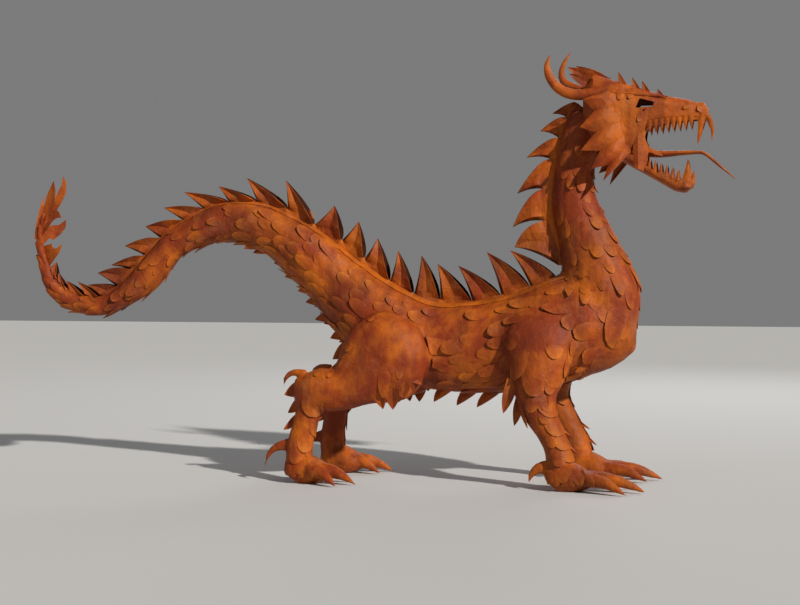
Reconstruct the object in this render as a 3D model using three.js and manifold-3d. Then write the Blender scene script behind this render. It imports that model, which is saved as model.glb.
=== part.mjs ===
// Steel dragon sculpture, walking, with raised neck and tail, built from weathered sheet steel.
// All sizes are in millimetres. +X runs to the head, +Z is up, and the right flank faces -Y.
import * as THREE from "three";
import Module from "manifold-3d";

const wasm = await Module();
wasm.setup();

const steel = new THREE.MeshStandardMaterial({ color: 0xa9501f, roughness: 0.8, metalness: 0.35 });

// Clearance left between two pieces that are welded against each other
const weldGap = 0.5;

// Half width of each round piece, as a share of its half height
const torsoWidth = 0.78;
const neckWidth = 0.8;
const tailWidth = 0.9;

// Scale rows: how far the free end of a scale stands off, and its overlap as a share of the row
const scaleLift = { torso: 13, neck: 11, tail: 8, leg: 7 };
const scaleReach = 0.42;
const facetsPerScale = 3;
const seamLift = 0.45;

// Middle line and half height of the torso, from the chest to the root of the tail
const torsoLine = [
  [1636, 1150, 60], [1606, 1130, 165], [1536, 1110, 242], [1410, 1100, 322], [1252, 1107, 362],
  [926, 1000, 345], [574, 948, 322], [217, 958, 304], [-109, 1096, 296], [-417, 1357, 232],
  [-565, 1500, 205], [-700, 1606, 188],
];

// The same for the tail, from its root to the stem that carries the tail leaves
const tailLine = [
  [-500, 1438, 205], [-600, 1528, 206], [-737, 1633, 194], [-895, 1742, 166], [-1061, 1812, 158],
  [-1327, 1826, 138], [-1566, 1742, 114], [-1706, 1657, 104], [-1822, 1535, 108], [-1916, 1427, 110],
  [-2077, 1306, 85], [-2256, 1215, 68], [-2423, 1233, 66], [-2575, 1284, 68], [-2674, 1400, 56],
  [-2726, 1535, 40], [-2752, 1650, 31], [-2762, 1760, 26], [-2742, 1850, 20], [-2722, 1905, 12],
];

// The same for the neck, from inside the skull down to inside the chest
const neckLine = [
  [1330, 2560, 120], [1300, 2440, 142], [1243, 2245, 138], [1226, 2072, 140], [1244, 1914, 160],
  [1298, 1748, 184], [1362, 1541, 226], [1402, 1363, 276], [1400, 1215, 276], [1394, 1085, 262],
  [1378, 965, 215], [1360, 885, 140],
];

// Top edge of the keel strip, where each pair of neighbouring fins meets, and the fin tips between
const backKeel = [
  [1114, 1438], [926, 1375], [722, 1312], [517, 1271], [289, 1280], [98, 1314], [-74, 1413], [-260, 1570],
  [-425, 1700], [-629, 1811], [-828, 1932], [-1061, 1984], [-1274, 1979], [-1470, 1930], [-1630, 1849],
  [-1807, 1720], [-1932, 1593], [-2040, 1496], [-2149, 1365], [-2276, 1288], [-2396, 1296], [-2524, 1317],
  [-2617, 1415], [-2677, 1500],
];
const backFinTips = [
  [789, 1621], [624, 1608], [422, 1514], [273, 1528], [157, 1585], [-13, 1620], [-162, 1709], [-302, 1830],
  [-479, 1943], [-837, 2126], [-1131, 2147], [-1347, 2091], [-1612, 2052], [-1771, 1940], [-1916, 1804],
  [-2077, 1663], [-2184, 1522], [-2293, 1463], [-2373, 1374], [-2453, 1396], [-2543, 1403], [-2609, 1463],
  [-2626, 1545],
];
const neckKeel = [
  [1245, 2640], [1169, 2540], [1117, 2399], [1057, 2254], [1004, 2047], [1012, 1826], [1128, 1514],
];
const neckFinTips = [[1082, 2565], [998, 2446], [902, 2264], [838, 2018], [807, 1787], [818, 1646]];
const keelHalfWidth = 17;
const keelDepth = 90;

// Fins are plates folded to a V that opens towards the head
const finFold = 0.24;
const finPlate = 7;
const finOpening = 48;
const finClearance = 5;

const vector = (x, y, z) => new THREE.Vector3(x, y, z);
const blend = THREE.MathUtils.lerp;

// Makes a closed solid of points and triangles, turned so that its faces look outwards.
function solid(points, triangles) {
  let volume = 0;
  for (const [a, b, c] of triangles) {
    volume += points[a].dot(points[b].clone().cross(points[c]));
  }
  const outward = volume < 0 ? triangles.map(([a, b, c]) => [a, c, b]) : triangles;
  return new wasm.Manifold(new wasm.Mesh({
    numProp: 3,
    vertProperties: Float32Array.from(points.flatMap((point) => point.toArray())),
    triVerts: Uint32Array.from(outward.flat()),
  }));
}

// Skins a row of rings; each end closes on one point. Turned corners take the other diagonal.
function skin(rings, start, end, turned = []) {
  const count = rings[0].length;
  const last = (rings.length - 1) * count;
  const points = [...rings.flat(), start, end];
  const triangles = [];
  for (let corner = 0; corner < count; corner += 1) {
    const next = (corner + 1) % count;
    for (let ring = 0; ring < last; ring += count) {
      const [a, b, c, d] = [ring + corner, ring + next, ring + next + count, ring + corner + count];
      triangles.push(...(turned.includes(corner) ? [[a, b, d], [b, c, d]] : [[a, b, c], [a, c, d]]));
    }
    triangles.push([next, corner, points.length - 2]);
    triangles.push([last + corner, last + next, points.length - 1]);
  }
  return solid(points, triangles);
}

const join = (pieces) => wasm.Manifold.union(pieces);

// Follows stations [x, y, z, half height, half width] and finds points on the skin round them.
function follow(stations, grow) {
  const middles = stations.map(([x, y, z]) => vector(x, y, z));
  const path = new THREE.CatmullRomCurve3(middles, false, "centripetal");
  const girth = new THREE.CatmullRomCurve3(
    stations.map(([, , , high, wide]) => vector(high, wide, 0)), false, "catmullrom", 0.5,
  );
  const length = path.getLength();
  const centre = (along) => {
    const inside = THREE.MathUtils.clamp(along, 0, length);
    const place = path.getUtoTmapping(inside / length);
    const forward = path.getTangent(place);
    return { place, forward, point: path.getPoint(place).addScaledVector(forward, along - inside) };
  };
  const surface = (along, turn, rise) => {
    const { place, forward, point } = centre(along);
    const side = vector(0, 1, 0).addScaledVector(forward, -forward.y).normalize();
    const up = side.clone().cross(forward);
    const { x: high, y: wide } = girth.getPoint(place);
    return point
      .addScaledVector(up, (high + rise + grow) * Math.cos(turn))
      .addScaledVector(side, (wide + rise + grow) * Math.sin(turn));
  };
  return { length, centre, surface };
}

// A round piece without scales; it runs out to a point, or ends blunt.
function taper(stations, sides, steps, grow = 0, blunt = false) {
  const { length, centre, surface } = follow(stations, grow);
  const rings = Array.from({ length: steps }, (_, ring) => {
    const share = blunt ? ring / (steps - 1) : ring / steps;
    const along = blend(-grow, length + grow * Number(blunt), share);
    return Array.from({ length: sides }, (_, corner) => surface(along, (corner * 2 * Math.PI) / sides, 0));
  });
  return skin(rings, centre(-grow).point, centre(length + grow).point);
}

const bareSteps = [0.2, 0.5, 1];

// A round piece clad in rows of overlapping scales whose free ends look along the stations.
function clad(stations, { scales, rowStart, rowEnd, lift, bare = 0 }, grow = 0) {
  const { length, centre, surface } = follow(stations, grow);
  const count = scales * facetsPerScale;
  const ring = (along, row, reach, rise) => Array.from({ length: count }, (_, corner) => {
    const across = ((corner + (row % 2)) % facetsPerScale) / facetsPerScale;
    const bulge = Math.sqrt(1 - (2 * across - 1) ** 2);
    const turn = ((corner + (row % 2) / 2) * 2 * Math.PI) / count;
    return surface(along + reach * bulge, turn, rise * blend(seamLift, 1, bulge));
  });
  const rings = [-grow, ...bareSteps.map((share) => share * bare)].map((start) => ring(start, 0, 0, 0));
  let along = bare;
  for (let row = 1; along < length; row += 1) {
    const pitch = blend(rowStart, rowEnd, along / length);
    along += pitch;
    const reach = Math.min(pitch * scaleReach, Math.max(length - along, 0));
    if (along < length) {
      rings.push(ring(along + grow, row, reach, lift), ring(along + grow, row, reach, 0));
    } else {
      rings.push(ring(length + grow, row, 0, 0));
    }
  }
  return skin(rings, centre(-grow).point, centre(length + grow).point);
}

// A point on the bowed edge of a leaf, between its foot and its tip.
function bowedEdge(foot, tip, outward, bow, share) {
  const middle = foot.clone().lerp(tip, 0.5).addScaledVector(outward, bow * foot.distanceTo(tip));
  return new THREE.QuadraticBezierCurve3(foot, middle, tip).getPoint(share);
}

// A solid leaf with a ridge down the middle of both faces.
function leaf(rear, front, tip, shape, grow = 0) {
  const { thick = 9, rearBow = 0.15, frontBow = 0.15, root = 30, cuts = 3 } = shape;
  const across = front.clone().sub(rear).normalize();
  const middle = rear.clone().lerp(front, 0.5);
  const inward = middle.clone().sub(tip).normalize().multiplyScalar(root);
  const normal = across.clone().cross(inward).normalize();
  const rings = [];
  for (let cut = -1; cut < cuts; cut += 1) {
    const share = Math.max(cut, 0) / cuts;
    const sunk = cut < 0 ? inward : vector(0, 0, 0);
    const rearEdge = bowedEdge(rear, tip, across, -rearBow, share).add(sunk).addScaledVector(across, -grow);
    const frontEdge = bowedEdge(front, tip, across, frontBow, share).add(sunk).addScaledVector(across, grow);
    const ridge = rearEdge.clone().lerp(frontEdge, 0.5);
    const rise = thick * (1 - share * 0.6) + grow;
    const [over, under] = [rise, -rise].map((height) => ridge.clone().addScaledVector(normal, height));
    rings.push([rearEdge, over, frontEdge, under]);
  }
  const start = middle.clone().add(inward);
  return skin(rings, start, tip.clone().addScaledVector(inward, -grow / root));
}

// Corners of the folded section whose wing must be cut along the same diagonal as its other face
const innerNearAndOuterFar = [2, 5];

// A fin folded from one plate: the fold is its rear edge and the two wings open at its front edge.
function foldedFin([rearX, rearZ], [frontX, frontZ], [tipX, tipZ], rearBow, frontBow) {
  const tip = vector(tipX, 0, tipZ);
  const across = vector(frontX - rearX, 0, frontZ - rearZ).normalize();
  const lift = vector(-across.z, 0, across.x).multiplyScalar(weldGap);
  const rear = vector(rearX, 0, rearZ).addScaledVector(across, finClearance).add(lift);
  const front = vector(frontX, 0, frontZ).addScaledVector(across, -finClearance).add(lift);
  const rings = [0, 0.3, 0.72].map((share, cut) => {
    const fold = bowedEdge(rear, tip, across, -rearBow, share);
    const mouth = bowedEdge(front, tip, across, frontBow, share);
    const width = fold.distanceTo(mouth);
    const open = cut === 0 ? keelHalfWidth - finPlate : Math.min(width * finFold, finOpening);
    const plate = finPlate * Math.min(1, width / 90);
    const inner = fold.clone().lerp(mouth, Math.min(0.4, plate / open));
    return [
      fold, mouth.clone().setY(-open - plate / 2), mouth.clone().setY(-open + plate / 2),
      inner, mouth.clone().setY(open - plate / 2), mouth.clone().setY(open + plate / 2),
    ];
  });
  return skin(rings, rings[0][0].clone().lerp(rings[0][3], 0.5), tip, innerNearAndOuterFar);
}

// A strip with a square section whose top edge runs through the keel points.
function keelStrip(points, grow) {
  const path = new THREE.CatmullRomCurve3(points.map(([x, z]) => vector(x, 0, z)), false, "centripetal");
  const half = keelHalfWidth + grow;
  const rings = points.map((_, index) => {
    const share = index / (points.length - 1);
    const forward = path.getTangent(share);
    const under = forward.clone().cross(vector(0, 1, 0));
    const end = index === 0 ? -grow : grow * Number(index === points.length - 1);
    const top = path.getPoint(share).addScaledVector(under, -grow).addScaledVector(forward, end);
    const depth = keelDepth * Math.min(1, 1.15 - share) + 2 * grow;
    const foot = top.clone().addScaledVector(under, depth);
    return [
      top.clone().setY(-half), top.clone().setY(half), foot.clone().setY(half), foot.clone().setY(-half),
    ];
  });
  const centre = (ring) => ring[0].clone().lerp(ring[2], 0.5);
  return skin(rings, centre(rings[0]), centre(rings.at(-1)));
}

// Rows of scales on torso, tail and neck: scales in a row, row length at each end, lift, and bare length
const torsoRows = { scales: 9, rowStart: 180, rowEnd: 180, lift: scaleLift.torso, bare: 150 };
const tailRows = { scales: 5, rowStart: 190, rowEnd: 110, lift: scaleLift.tail, bare: 90 };
const neckRows = { scales: 6, rowStart: 150, rowEnd: 180, lift: scaleLift.neck, bare: 120 };

// Leaves under the belly and under the root of the tail, each with its tip and its foot on the skin
const bellyLeaves = [
  { tip: [246, 557], foot: [330, 650], width: 110 }, { tip: [410, 535], foot: [500, 632], width: 120 },
  { tip: [553, 524], foot: [660, 632], width: 120 },
];
const bellyLeafShape = { thick: 30, rearBow: 0.2, frontBow: 0.1, root: 80, cuts: 2 };
const tailLeafWidth = 90;
const tailLeafShape = { thick: 22, rearBow: 0.1, frontBow: 0.1, root: 50, cuts: 1 };
const tailUnderLeaves = [
  [[-1142, 1640], [-1005, 1662]], [[-1003, 1610], [-880, 1590]], [[-917, 1536], [-815, 1500]],
  [[-835, 1436], [-722, 1420]], [[-737, 1336], [-632, 1320]], [[-680, 1256], [-572, 1240]],
  [[-610, 1132], [-492, 1130]], [[-497, 1000], [-392, 1010]], [[-480, 850], [-372, 905]],
];
const tailUnderRun = vector(0.75, 0, -0.66).normalize();

// The scaled skin of torso, tail and neck, welded into one shell, with its keel and hanging leaves
function bodySkin(grow) {
  const widen = (line, share) => line.map(([x, z, high]) => [x, 0, z, high, high * share]);
  const pieces = [
    clad(widen(torsoLine, torsoWidth), torsoRows, grow),
    clad(widen(tailLine, tailWidth), tailRows, grow),
    clad(widen(neckLine, neckWidth), neckRows, grow),
    keelStrip(backKeel, grow),
    keelStrip(neckKeel, grow),
  ];
  for (const [[tipX, tipZ], [footX, footZ]] of tailUnderLeaves) {
    const foot = vector(footX, 0, footZ);
    const [rear, front] = [-0.5, 0.5].map((half) => (
      foot.clone().addScaledVector(tailUnderRun, half * tailLeafWidth)
    ));
    pieces.push(leaf(rear, front, vector(tipX, 0, tipZ), tailLeafShape, grow));
  }
  for (const { tip, foot, width } of bellyLeaves) {
    const [rear, front] = [-0.5, 0.5].map((half) => vector(foot[0] + half * width, 0, foot[1]));
    pieces.push(leaf(rear, front, vector(tip[0], 0, tip[1]), bellyLeafShape, grow));
  }
  return join(pieces);
}

// Smooth room round the scaled skin, so that a leg cut by it keeps clear of every scale
function skinRoom() {
  const spare = 10;
  const widen = (line, share, lift) => line.map(([x, z, high]) => (
    [x, 0, z, high + lift, high * share + lift]
  ));
  return join([
    taper(widen(torsoLine, torsoWidth, scaleLift.torso + spare), 20, 15, weldGap, true),
    taper(widen(neckLine, neckWidth, scaleLift.neck + spare), 18, 14, 3 * weldGap, true),
  ]);
}

const largest = (piece) => piece.decompose().sort((one, other) => other.volume() - one.volume())[0];

const legPlates = { scales: 5, rowStart: 125, rowEnd: 120, lift: scaleLift.leg };

// Distance of each leg and foot from the middle line
const stance = 300;

const haunch = [
  [215, 235, 960, 120, 60], [110, 240, 930, 262, 145], [-23, 245, 885, 318, 165],
  [-150, 255, 800, 285, 158], [-262, 275, 715, 195, 140], [-362, 295, 655, 148, 128],
  [-480, stance, 655, 148, 120], [-590, stance, 668, 118, 105], [-655, stance, 690, 60, 55],
];
const shin = [
  [-600, stance, 730, 80, 80], [-592, stance, 640, 104, 94], [-585, stance, 545, 92, 86],
  [-603, stance, 440, 86, 80], [-640, stance, 310, 88, 82], [-658, stance, 195, 92, 84],
  [-662, stance, 100, 84, 80],
];
const foreLimb = [
  [1035, 215, 1185, 110, 50], [1030, 235, 1100, 205, 110], [1025, 250, 960, 240, 138],
  [1020, 265, 800, 196, 140], [1006, 285, 660, 148, 125], [1026, stance, 540, 112, 105],
  [1098, stance, 405, 90, 88], [1146, stance, 305, 86, 84], [1170, stance, 215, 92, 88],
  [1176, stance, 110, 84, 84],
];
const rearSpur = [
  [-640, stance, 262, 70, 40], [-735, stance, 262, 46, 28], [-820, stance, 242, 30, 20],
  [-880, stance, 188, 18, 14], [-905, stance, 105, 3, 3],
];

// Stations are written for the right side; the left side mirrors them and steps forward below the hip
const hipHeight = haunch[1][2];
const ankleHeight = shin.at(-1)[2];
const step = (stride, z) => (
  stride * THREE.MathUtils.clamp((hipHeight - z) / (hipHeight - ankleHeight), 0, 1)
);
const onSide = (side, stride, stations) => (
  stations.map(([x, y, z, ...girth]) => [x + step(stride, z), side * y, z, ...girth])
);
const pointOn = (side, stride, [x, y, z]) => vector(x + step(stride, z), side * y, z);

// A row of leaves, each given by its rear foot, front foot and tip
function leaves(side, stride, list, shape, grow = 0) {
  return list.map(([rear, front, tip]) => (
    leaf(pointOn(side, stride, rear), pointOn(side, stride, front), pointOn(side, stride, tip), shape, grow)
  ));
}

// Smooth room round the lower end of a limb, cut out of the foot that it stands in
function limbRoom(side, stride, stations) {
  const spare = scaleLift.leg + 4;
  const lower = stations.slice(-4).map(([x, y, z, high, wide]) => [x, y, z, high + spare, wide + spare]);
  return taper(onSide(side, stride, lower), 14, 5, weldGap, true);
}

// Rear leg: domed haunch, thigh that runs back to the hock, and a shin that drops to the foot
function rearLeg(side, stride) {
  const hock = [
    [-610, stance, 755, 36, 30], [-690, stance, 770, 24, 22], [-748, stance, 735, 16, 15],
    [-768, stance, 665, 3, 3],
  ];
  const fringe = [
    [[-120, 350, 620], [-20, 360, 600], [-45, 330, 528]], [[-20, 360, 620], [80, 365, 620], [25, 330, 526]],
    [[60, 360, 650], [150, 350, 680], [100, 335, 605]], [[130, 345, 740], [200, 325, 800], [232, 320, 700]],
  ];
  const shinSpikes = [
    [[-690, stance, 700], [-665, stance, 600], [-763, stance, 612]],
    [[-675, stance, 590], [-665, stance, 500], [-738, stance, 486]],
    [[-690, stance, 470], [-695, stance, 390], [-770, stance, 367]],
  ];
  return join([
    taper(onSide(side, stride, haunch), 12, 9),
    clad(onSide(side, stride, shin), { ...legPlates, bare: 150 }),
    taper(onSide(side, stride, hock), 5, 5),
    taper(onSide(side, stride, rearSpur), 5, 5),
    ...leaves(side, stride, fringe, { thick: 12, root: 60, cuts: 1 }),
    ...leaves(side, stride, shinSpikes, { thick: 9, root: 40, cuts: 1 }),
  ]);
}

// Front leg: shoulder that blends into the chest, bent forward at the elbow
function frontLeg(side, stride) {
  const elbow = [
    [[800, 330, 690], [880, 330, 680], [789, 310, 514]], [[870, 320, 600], [925, 315, 560], [862, 300, 430]],
    [[960, 385, 720], [1080, 390, 720], [1105, 385, 560]],
  ];
  const frontSpikes = [
    [[1120, stance, 470], [1180, stance, 390], [1262, stance, 360]],
    [[1190, stance, 360], [1225, stance, 290], [1300, stance, 245]],
  ];
  return join([
    clad(onSide(side, stride, foreLimb), { ...legPlates, bare: 300 }),
    ...leaves(side, stride, elbow, { thick: 10, root: 70, cuts: 1 }),
    ...leaves(side, stride, frontSpikes, { thick: 9, root: 40, cuts: 1 }),
  ]);
}

// Stations of the heel, before and behind the ankle
const heelLine = [
  [-75, 62, 45, 50], [-40, 85, 100, 82], [40, 95, 112, 104], [120, 86, 94, 112], [190, 78, 62, 92],
  [225, 75, 40, 60],
];
const outerToeSize = 0.86;

// Foot: heel pad that stands flat on the ground, three clawed toes and a curled spur behind
function foot(ankle, { toe, turnOut, spread, spur }, side, stride, room) {
  const heel = heelLine.map(([along, high, ...girth]) => (
    [ankle + stride + along, side * stance, high, ...girth]
  ));
  const pieces = [taper(heel, 10, 6), ...(spur ? [taper(onSide(side, stride, spur), 5, 5)] : [])];
  const toeLine = [
    [80, 92, 58, 56], [230, 88, 50, 46], [0.62 * toe, 84, 42, 36], [0.82 * toe, 52, 28, 24], [toe, 6, 3, 3],
  ];
  for (const [turn, size] of [[-spread, outerToeSize], [0, 1], [spread, outerToeSize]]) {
    const aim = THREE.MathUtils.degToRad(turn + turnOut);
    const run = toeLine.map(([along, high, ...girth]) => {
      const reach = along * size;
      const across = side * (stance + reach * Math.sin(aim));
      return [ankle + stride + reach * Math.cos(aim), across, high, ...girth];
    });
    pieces.push(taper(run, 6, 5));
  }
  return join(pieces).subtract(room).trimByPlane([0, 0, 1], 0);
}

// Skull with its upper jaw: x, crown height, floor height, half width above and below
const skullSections = [
  [1300, 2760, 2440, 95, 90], [1370, 2822, 2350, 140, 125], [1500, 2782, 2285, 158, 140],
  [1625, 2745, 2292, 150, 138], [1700, 2718, 2392, 136, 124], [1740, 2703, 2466, 128, 118],
  [1865, 2664, 2493, 104, 102], [1992, 2640, 2504, 80, 86], [2065, 2616, 2506, 66, 76],
  [2105, 2620, 2512, 58, 66], [2136, 2570, 2520, 40, 46],
];

function skullShell(grow) {
  const rings = skullSections.map(([x, crown, floor, above, below], index) => {
    const last = skullSections.length - 1;
    const end = (index === 0 ? -grow : 0) + (index === last ? grow : 0);
    const [top, bottom] = [crown + grow, floor - grow];
    const height = top - bottom;
    const half = [
      [0, top], [0.55 * above, top - 0.05 * height], [above + grow, top - 0.3 * height],
      [(above + below) / 2 + grow, top - 0.6 * height], [below + grow, bottom + 0.12 * height],
      [0.55 * below, bottom],
    ];
    const ring = [...half, [0, bottom], ...half.slice(1).reverse().map(([y, z]) => [-y, z])];
    return ring.map(([y, z]) => vector(x + end, y, z));
  });
  const middle = (ring) => ring[0].clone().lerp(ring[6], 0.5);
  return skin(rings, middle(rings[0]), middle(rings.at(-1)));
}

const toothRoot = 22;

// A tooth or fang with four sides
function tooth([x, y, z], [tipX, tipY, tipZ], half) {
  const rooted = z + Math.sign(z - tipZ) * toothRoot;
  const ring = [[-half, 0], [0, -half * 0.6], [half, 0], [0, half * 0.6]].map(([along, out]) => (
    vector(x + along, y + out, rooted)
  ));
  return skin([ring], vector(x, y, rooted), vector(tipX, tipY, tipZ));
}

const eyeHole = [[1684, 2643], [1782, 2617], [1770, 2587], [1658, 2577]];
const upperTeeth = { count: 8, from: [1745, 112, 2480], to: [2010, 78, 2510], length: 62, half: 15 };
const lowerTeeth = { count: 6, from: [1745, 102, 2180], to: [1935, 82, 2104], length: 62, half: 14 };
const fangs = {
  canine: [[2085, 62, 2505], [2064, 64, 2342], 26], nose: [[2128, 34, 2530], [2157, 32, 2368], 24],
  lower: [[1990, 62, 2075], [2004, 64, 2232], 27], chin: [[2030, 34, 2070], [2046, 32, 2150], 20],
};

function toothRow({ count, from, to, length, half }, way) {
  const row = [];
  for (const side of [-1, 1]) {
    for (let index = 0; index < count; index += 1) {
      const [x, y, z] = from.map((value, axis) => blend(value, to[axis], index / (count - 1)));
      row.push(tooth([x, side * y, z], [x + 6, side * (y - 4), z + way * length], half));
    }
  }
  return row;
}

const bothSides = ([base, tip, half]) => [-1, 1].map((side) => (
  tooth([base[0], side * base[1], base[2]], [tip[0], side * tip[1], tip[2]], half)
));

// Crown tuft over the back of the head and the small spikes over the eyes
const crownTuft = [
  [[1375, 30, 2740], [1410, 30, 2810], [1187, 45, 2874]],
  [[1375, 60, 2700], [1420, 60, 2770], [1202, 75, 2826]],
  [[1400, 0, 2775], [1440, 0, 2815], [1240, 0, 2887]],
];
const browSpikes = [
  [[1540, 70, 2742], [1600, 70, 2725], [1536, 72, 2832]],
  [[1635, 70, 2725], [1685, 70, 2708], [1630, 72, 2792]],
  [[1700, 66, 2706], [1750, 64, 2690], [1696, 68, 2766]],
  [[1800, 52, 2674], [1840, 50, 2664], [1800, 54, 2711]],
];

// Skull with an opening right through it for the eyes, and all that is fixed to it
function skullPiece() {
  const clearOfCheek = 2 * skullSections[2][3];
  const ring = (y) => eyeHole.map(([x, z]) => vector(x, y, z));
  const centre = (y) => ring(y)[0].lerp(ring(y)[2], 0.5);
  const eyeSlot = skin(
    [ring(-clearOfCheek), ring(clearOfCheek)], centre(-clearOfCheek), centre(clearOfCheek),
  );
  const shape = { thick: 10, root: 40, cuts: 1 };
  return join([
    skullShell(0).subtract(eyeSlot), ...toothRow(upperTeeth, -1), ...bothSides(fangs.canine),
    ...bothSides(fangs.nose), ...leaves(-1, 0, crownTuft, shape), ...leaves(-1, 0, browSpikes, shape),
    ...leaves(1, 0, browSpikes, shape),
  ]);
}

// Lower jaw, a trough of sheet: x, rim height, keel height and half width
const jawSections = [
  [1562, 2300, 2232, 118], [1640, 2262, 2184, 118], [1715, 2196, 2143, 110], [1809, 2138, 2088, 101],
  [1918, 2102, 2024, 84], [1985, 2088, 2011, 70], [2038, 2092, 2050, 44],
];
const jawSheet = 10;

// Strap that hangs the jaw from the cheek: rear foot, front foot and upper end
const jawStrap = [[1640, 117, 2210], [1712, 112, 2185], [1672, 118, 2520]];
const strapShape = { thick: 6, rearBow: 0.06, frontBow: 0.04, root: 20, cuts: 3 };

function lowerJaw() {
  const trough = (inset, raise) => {
    const rings = jawSections.map(([x, rim, keel, half], index) => {
      const last = jawSections.length - 1;
      const end = (index === 0 ? -20 : 0) * Number(raise > 0) - Number(index === last) * inset;
      const [wide, low, high] = [half - inset, keel + inset, rim + raise];
      return [
        [-wide, high], [-0.85 * wide, low + 0.3 * (rim - keel)], [-0.4 * wide, low], [0.4 * wide, low],
        [0.85 * wide, low + 0.3 * (rim - keel)], [wide, high],
      ].map(([y, z]) => vector(x + end, y, z));
    });
    const middle = (ring) => ring[2].clone().lerp(ring[3], 0.5).add(vector(0, 0, 20));
    return skin(rings, middle(rings[0]), middle(rings.at(-1)));
  };
  const straps = [-1, 1].flatMap((side) => leaves(side, 0, [jawStrap], strapShape));
  return join([
    trough(0, 0).subtract(trough(jawSheet, 60)), ...straps, ...toothRow(lowerTeeth, 1),
    ...bothSides(fangs.lower), ...bothSides(fangs.chin),
  ]);
}

const tongueLine = [
  [1660, 0, 2290, 24, 58], [1809, 0, 2274, 24, 50], [1960, 0, 2279, 17, 40], [2082, 0, 2281, 13, 32],
  [2128, 0, 2262, 12, 28], [2215, 0, 2186, 9, 20], [2314, 0, 2101, 3, 5],
];
const hornLines = {
  right: [
    [1500, -118, 2700, 44, 38], [1400, -128, 2684, 38, 34], [1253, -140, 2681, 33, 30],
    [1160, -150, 2716, 27, 25], [1092, -156, 2795, 20, 18], [1070, -158, 2878, 14, 13],
    [1082, -158, 2945, 3, 3],
  ],
  left: [
    [1500, 118, 2700, 44, 38], [1380, 126, 2700, 38, 34], [1240, 138, 2742, 32, 29],
    [1140, 148, 2800, 26, 24], [1122, 154, 2868, 20, 18], [1144, 158, 2938, 13, 12],
    [1184, 160, 3003, 3, 3],
  ],
};

// Tips of the frill's leaves, and the points on the cheek between their feet
const frillTips = [
  [1310, 205, 2634], [1297, 225, 2446], [1303, 240, 2289], [1374, 240, 2164], [1452, 225, 2082],
];
const frillFeet = [
  [1500, 158, 2700], [1545, 160, 2590], [1575, 160, 2490], [1600, 156, 2400], [1618, 150, 2330],
  [1625, 146, 2278],
];
const frillOverlap = 0.3;

// Cheek frill, five leaves that grow into one sheet behind the jaw
function frill(side) {
  const shape = { thick: 8, rearBow: 0.16, frontBow: 0.16, root: 12, cuts: 2 };
  return join(frillTips.map((tip, index) => {
    const [upper, lower] = [frillFeet[index], frillFeet[index + 1]].map((point) => pointOn(side, 0, point));
    const spread = upper.clone().sub(lower).multiplyScalar(frillOverlap);
    return leaf(lower.sub(spread), upper.add(spread), pointOn(side, 0, tip), shape);
  }));
}

// Leaves at the end of the tail: lower foot, upper foot, tip, and the bow of the lower and upper edge
const tailLeaves = [
  [[-2676, 1520], [-2742, 1622], [-2561, 1676], -0.05, 0.2],
  [[-2725, 1660], [-2750, 1770], [-2557, 1860], -0.25, 0.05],
  [[-2728, 1790], [-2712, 1885], [-2572, 1872], 0.1, 0.3],
  [[-2640, 1890], [-2700, 1925], [-2584, 2181], 0.3, -0.08],
  [[-2700, 1860], [-2768, 1880], [-2645, 2148], 0.02, 0.12],
  [[-2762, 1740], [-2800, 1750], [-2733, 2033], 0.02, 0.08],
];

const nodes = new Map();
const body = bodySkin(0);
const bodyRoom = bodySkin(weldGap);
const legRoom = skinRoom();
nodes.set("body_skin", body);

// Fins of the back, the tail and the neck
backFinTips.forEach((tip, index) => {
  const fin = foldedFin(backKeel[index + 1], backKeel[index], tip, 0.02, 0.12);
  nodes.set(`back_fin_${String(index + 1).padStart(2, "0")}`, largest(fin.subtract(bodyRoom)));
});
neckFinTips.forEach((tip, index) => {
  const fin = foldedFin(neckKeel[index + 1], neckKeel[index], tip, 0.02, 0.2);
  nodes.set(`neck_fin_${index + 1}`, largest(fin.subtract(bodyRoom)));
});
let leafRoom = bodySkin(3 * weldGap);
tailLeaves.forEach(([[lowX, lowZ], [highX, highZ], [tipX, tipZ], lowBow, highBow], index) => {
  const shape = { thick: 9, rearBow: lowBow, frontBow: highBow, root: 25, cuts: 2 };
  const [low, high, tip] = [vector(lowX, 0, lowZ), vector(highX, 0, highZ), vector(tipX, 0, tipZ)];
  const blade = (grow) => leaf(low, high, tip, shape, grow);
  nodes.set(`tail_leaf_${index + 1}`, largest(blade(0).subtract(leafRoom).subtract(body)));
  leafRoom = leafRoom.add(blade(weldGap));
});

// Head pieces, each cut back to a weld gap from the piece it is fixed to
const skullRoom = skullShell(weldGap);
const headRoom = join([legRoom, keelStrip(neckKeel, 3 * weldGap)]);
nodes.set("skull", largest(skullPiece().subtract(headRoom)));
nodes.set("lower_jaw", largest(lowerJaw().subtract(skullRoom).subtract(headRoom)));
nodes.set("tongue", largest(taper(tongueLine, 8, 8).subtract(skullRoom)));
for (const [name, side] of [["right", -1], ["left", 1]]) {
  const horn = taper(hornLines[name], 8, 9);
  const hornRoom = taper(hornLines[name], 8, 9, weldGap);
  nodes.set(`horn_${name}`, largest(horn.subtract(skullRoom)));
  const frillRoom = join([skullRoom, headRoom, hornRoom]);
  nodes.set(`cheek_frill_${name}`, largest(frill(side).subtract(frillRoom)));
}

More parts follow.
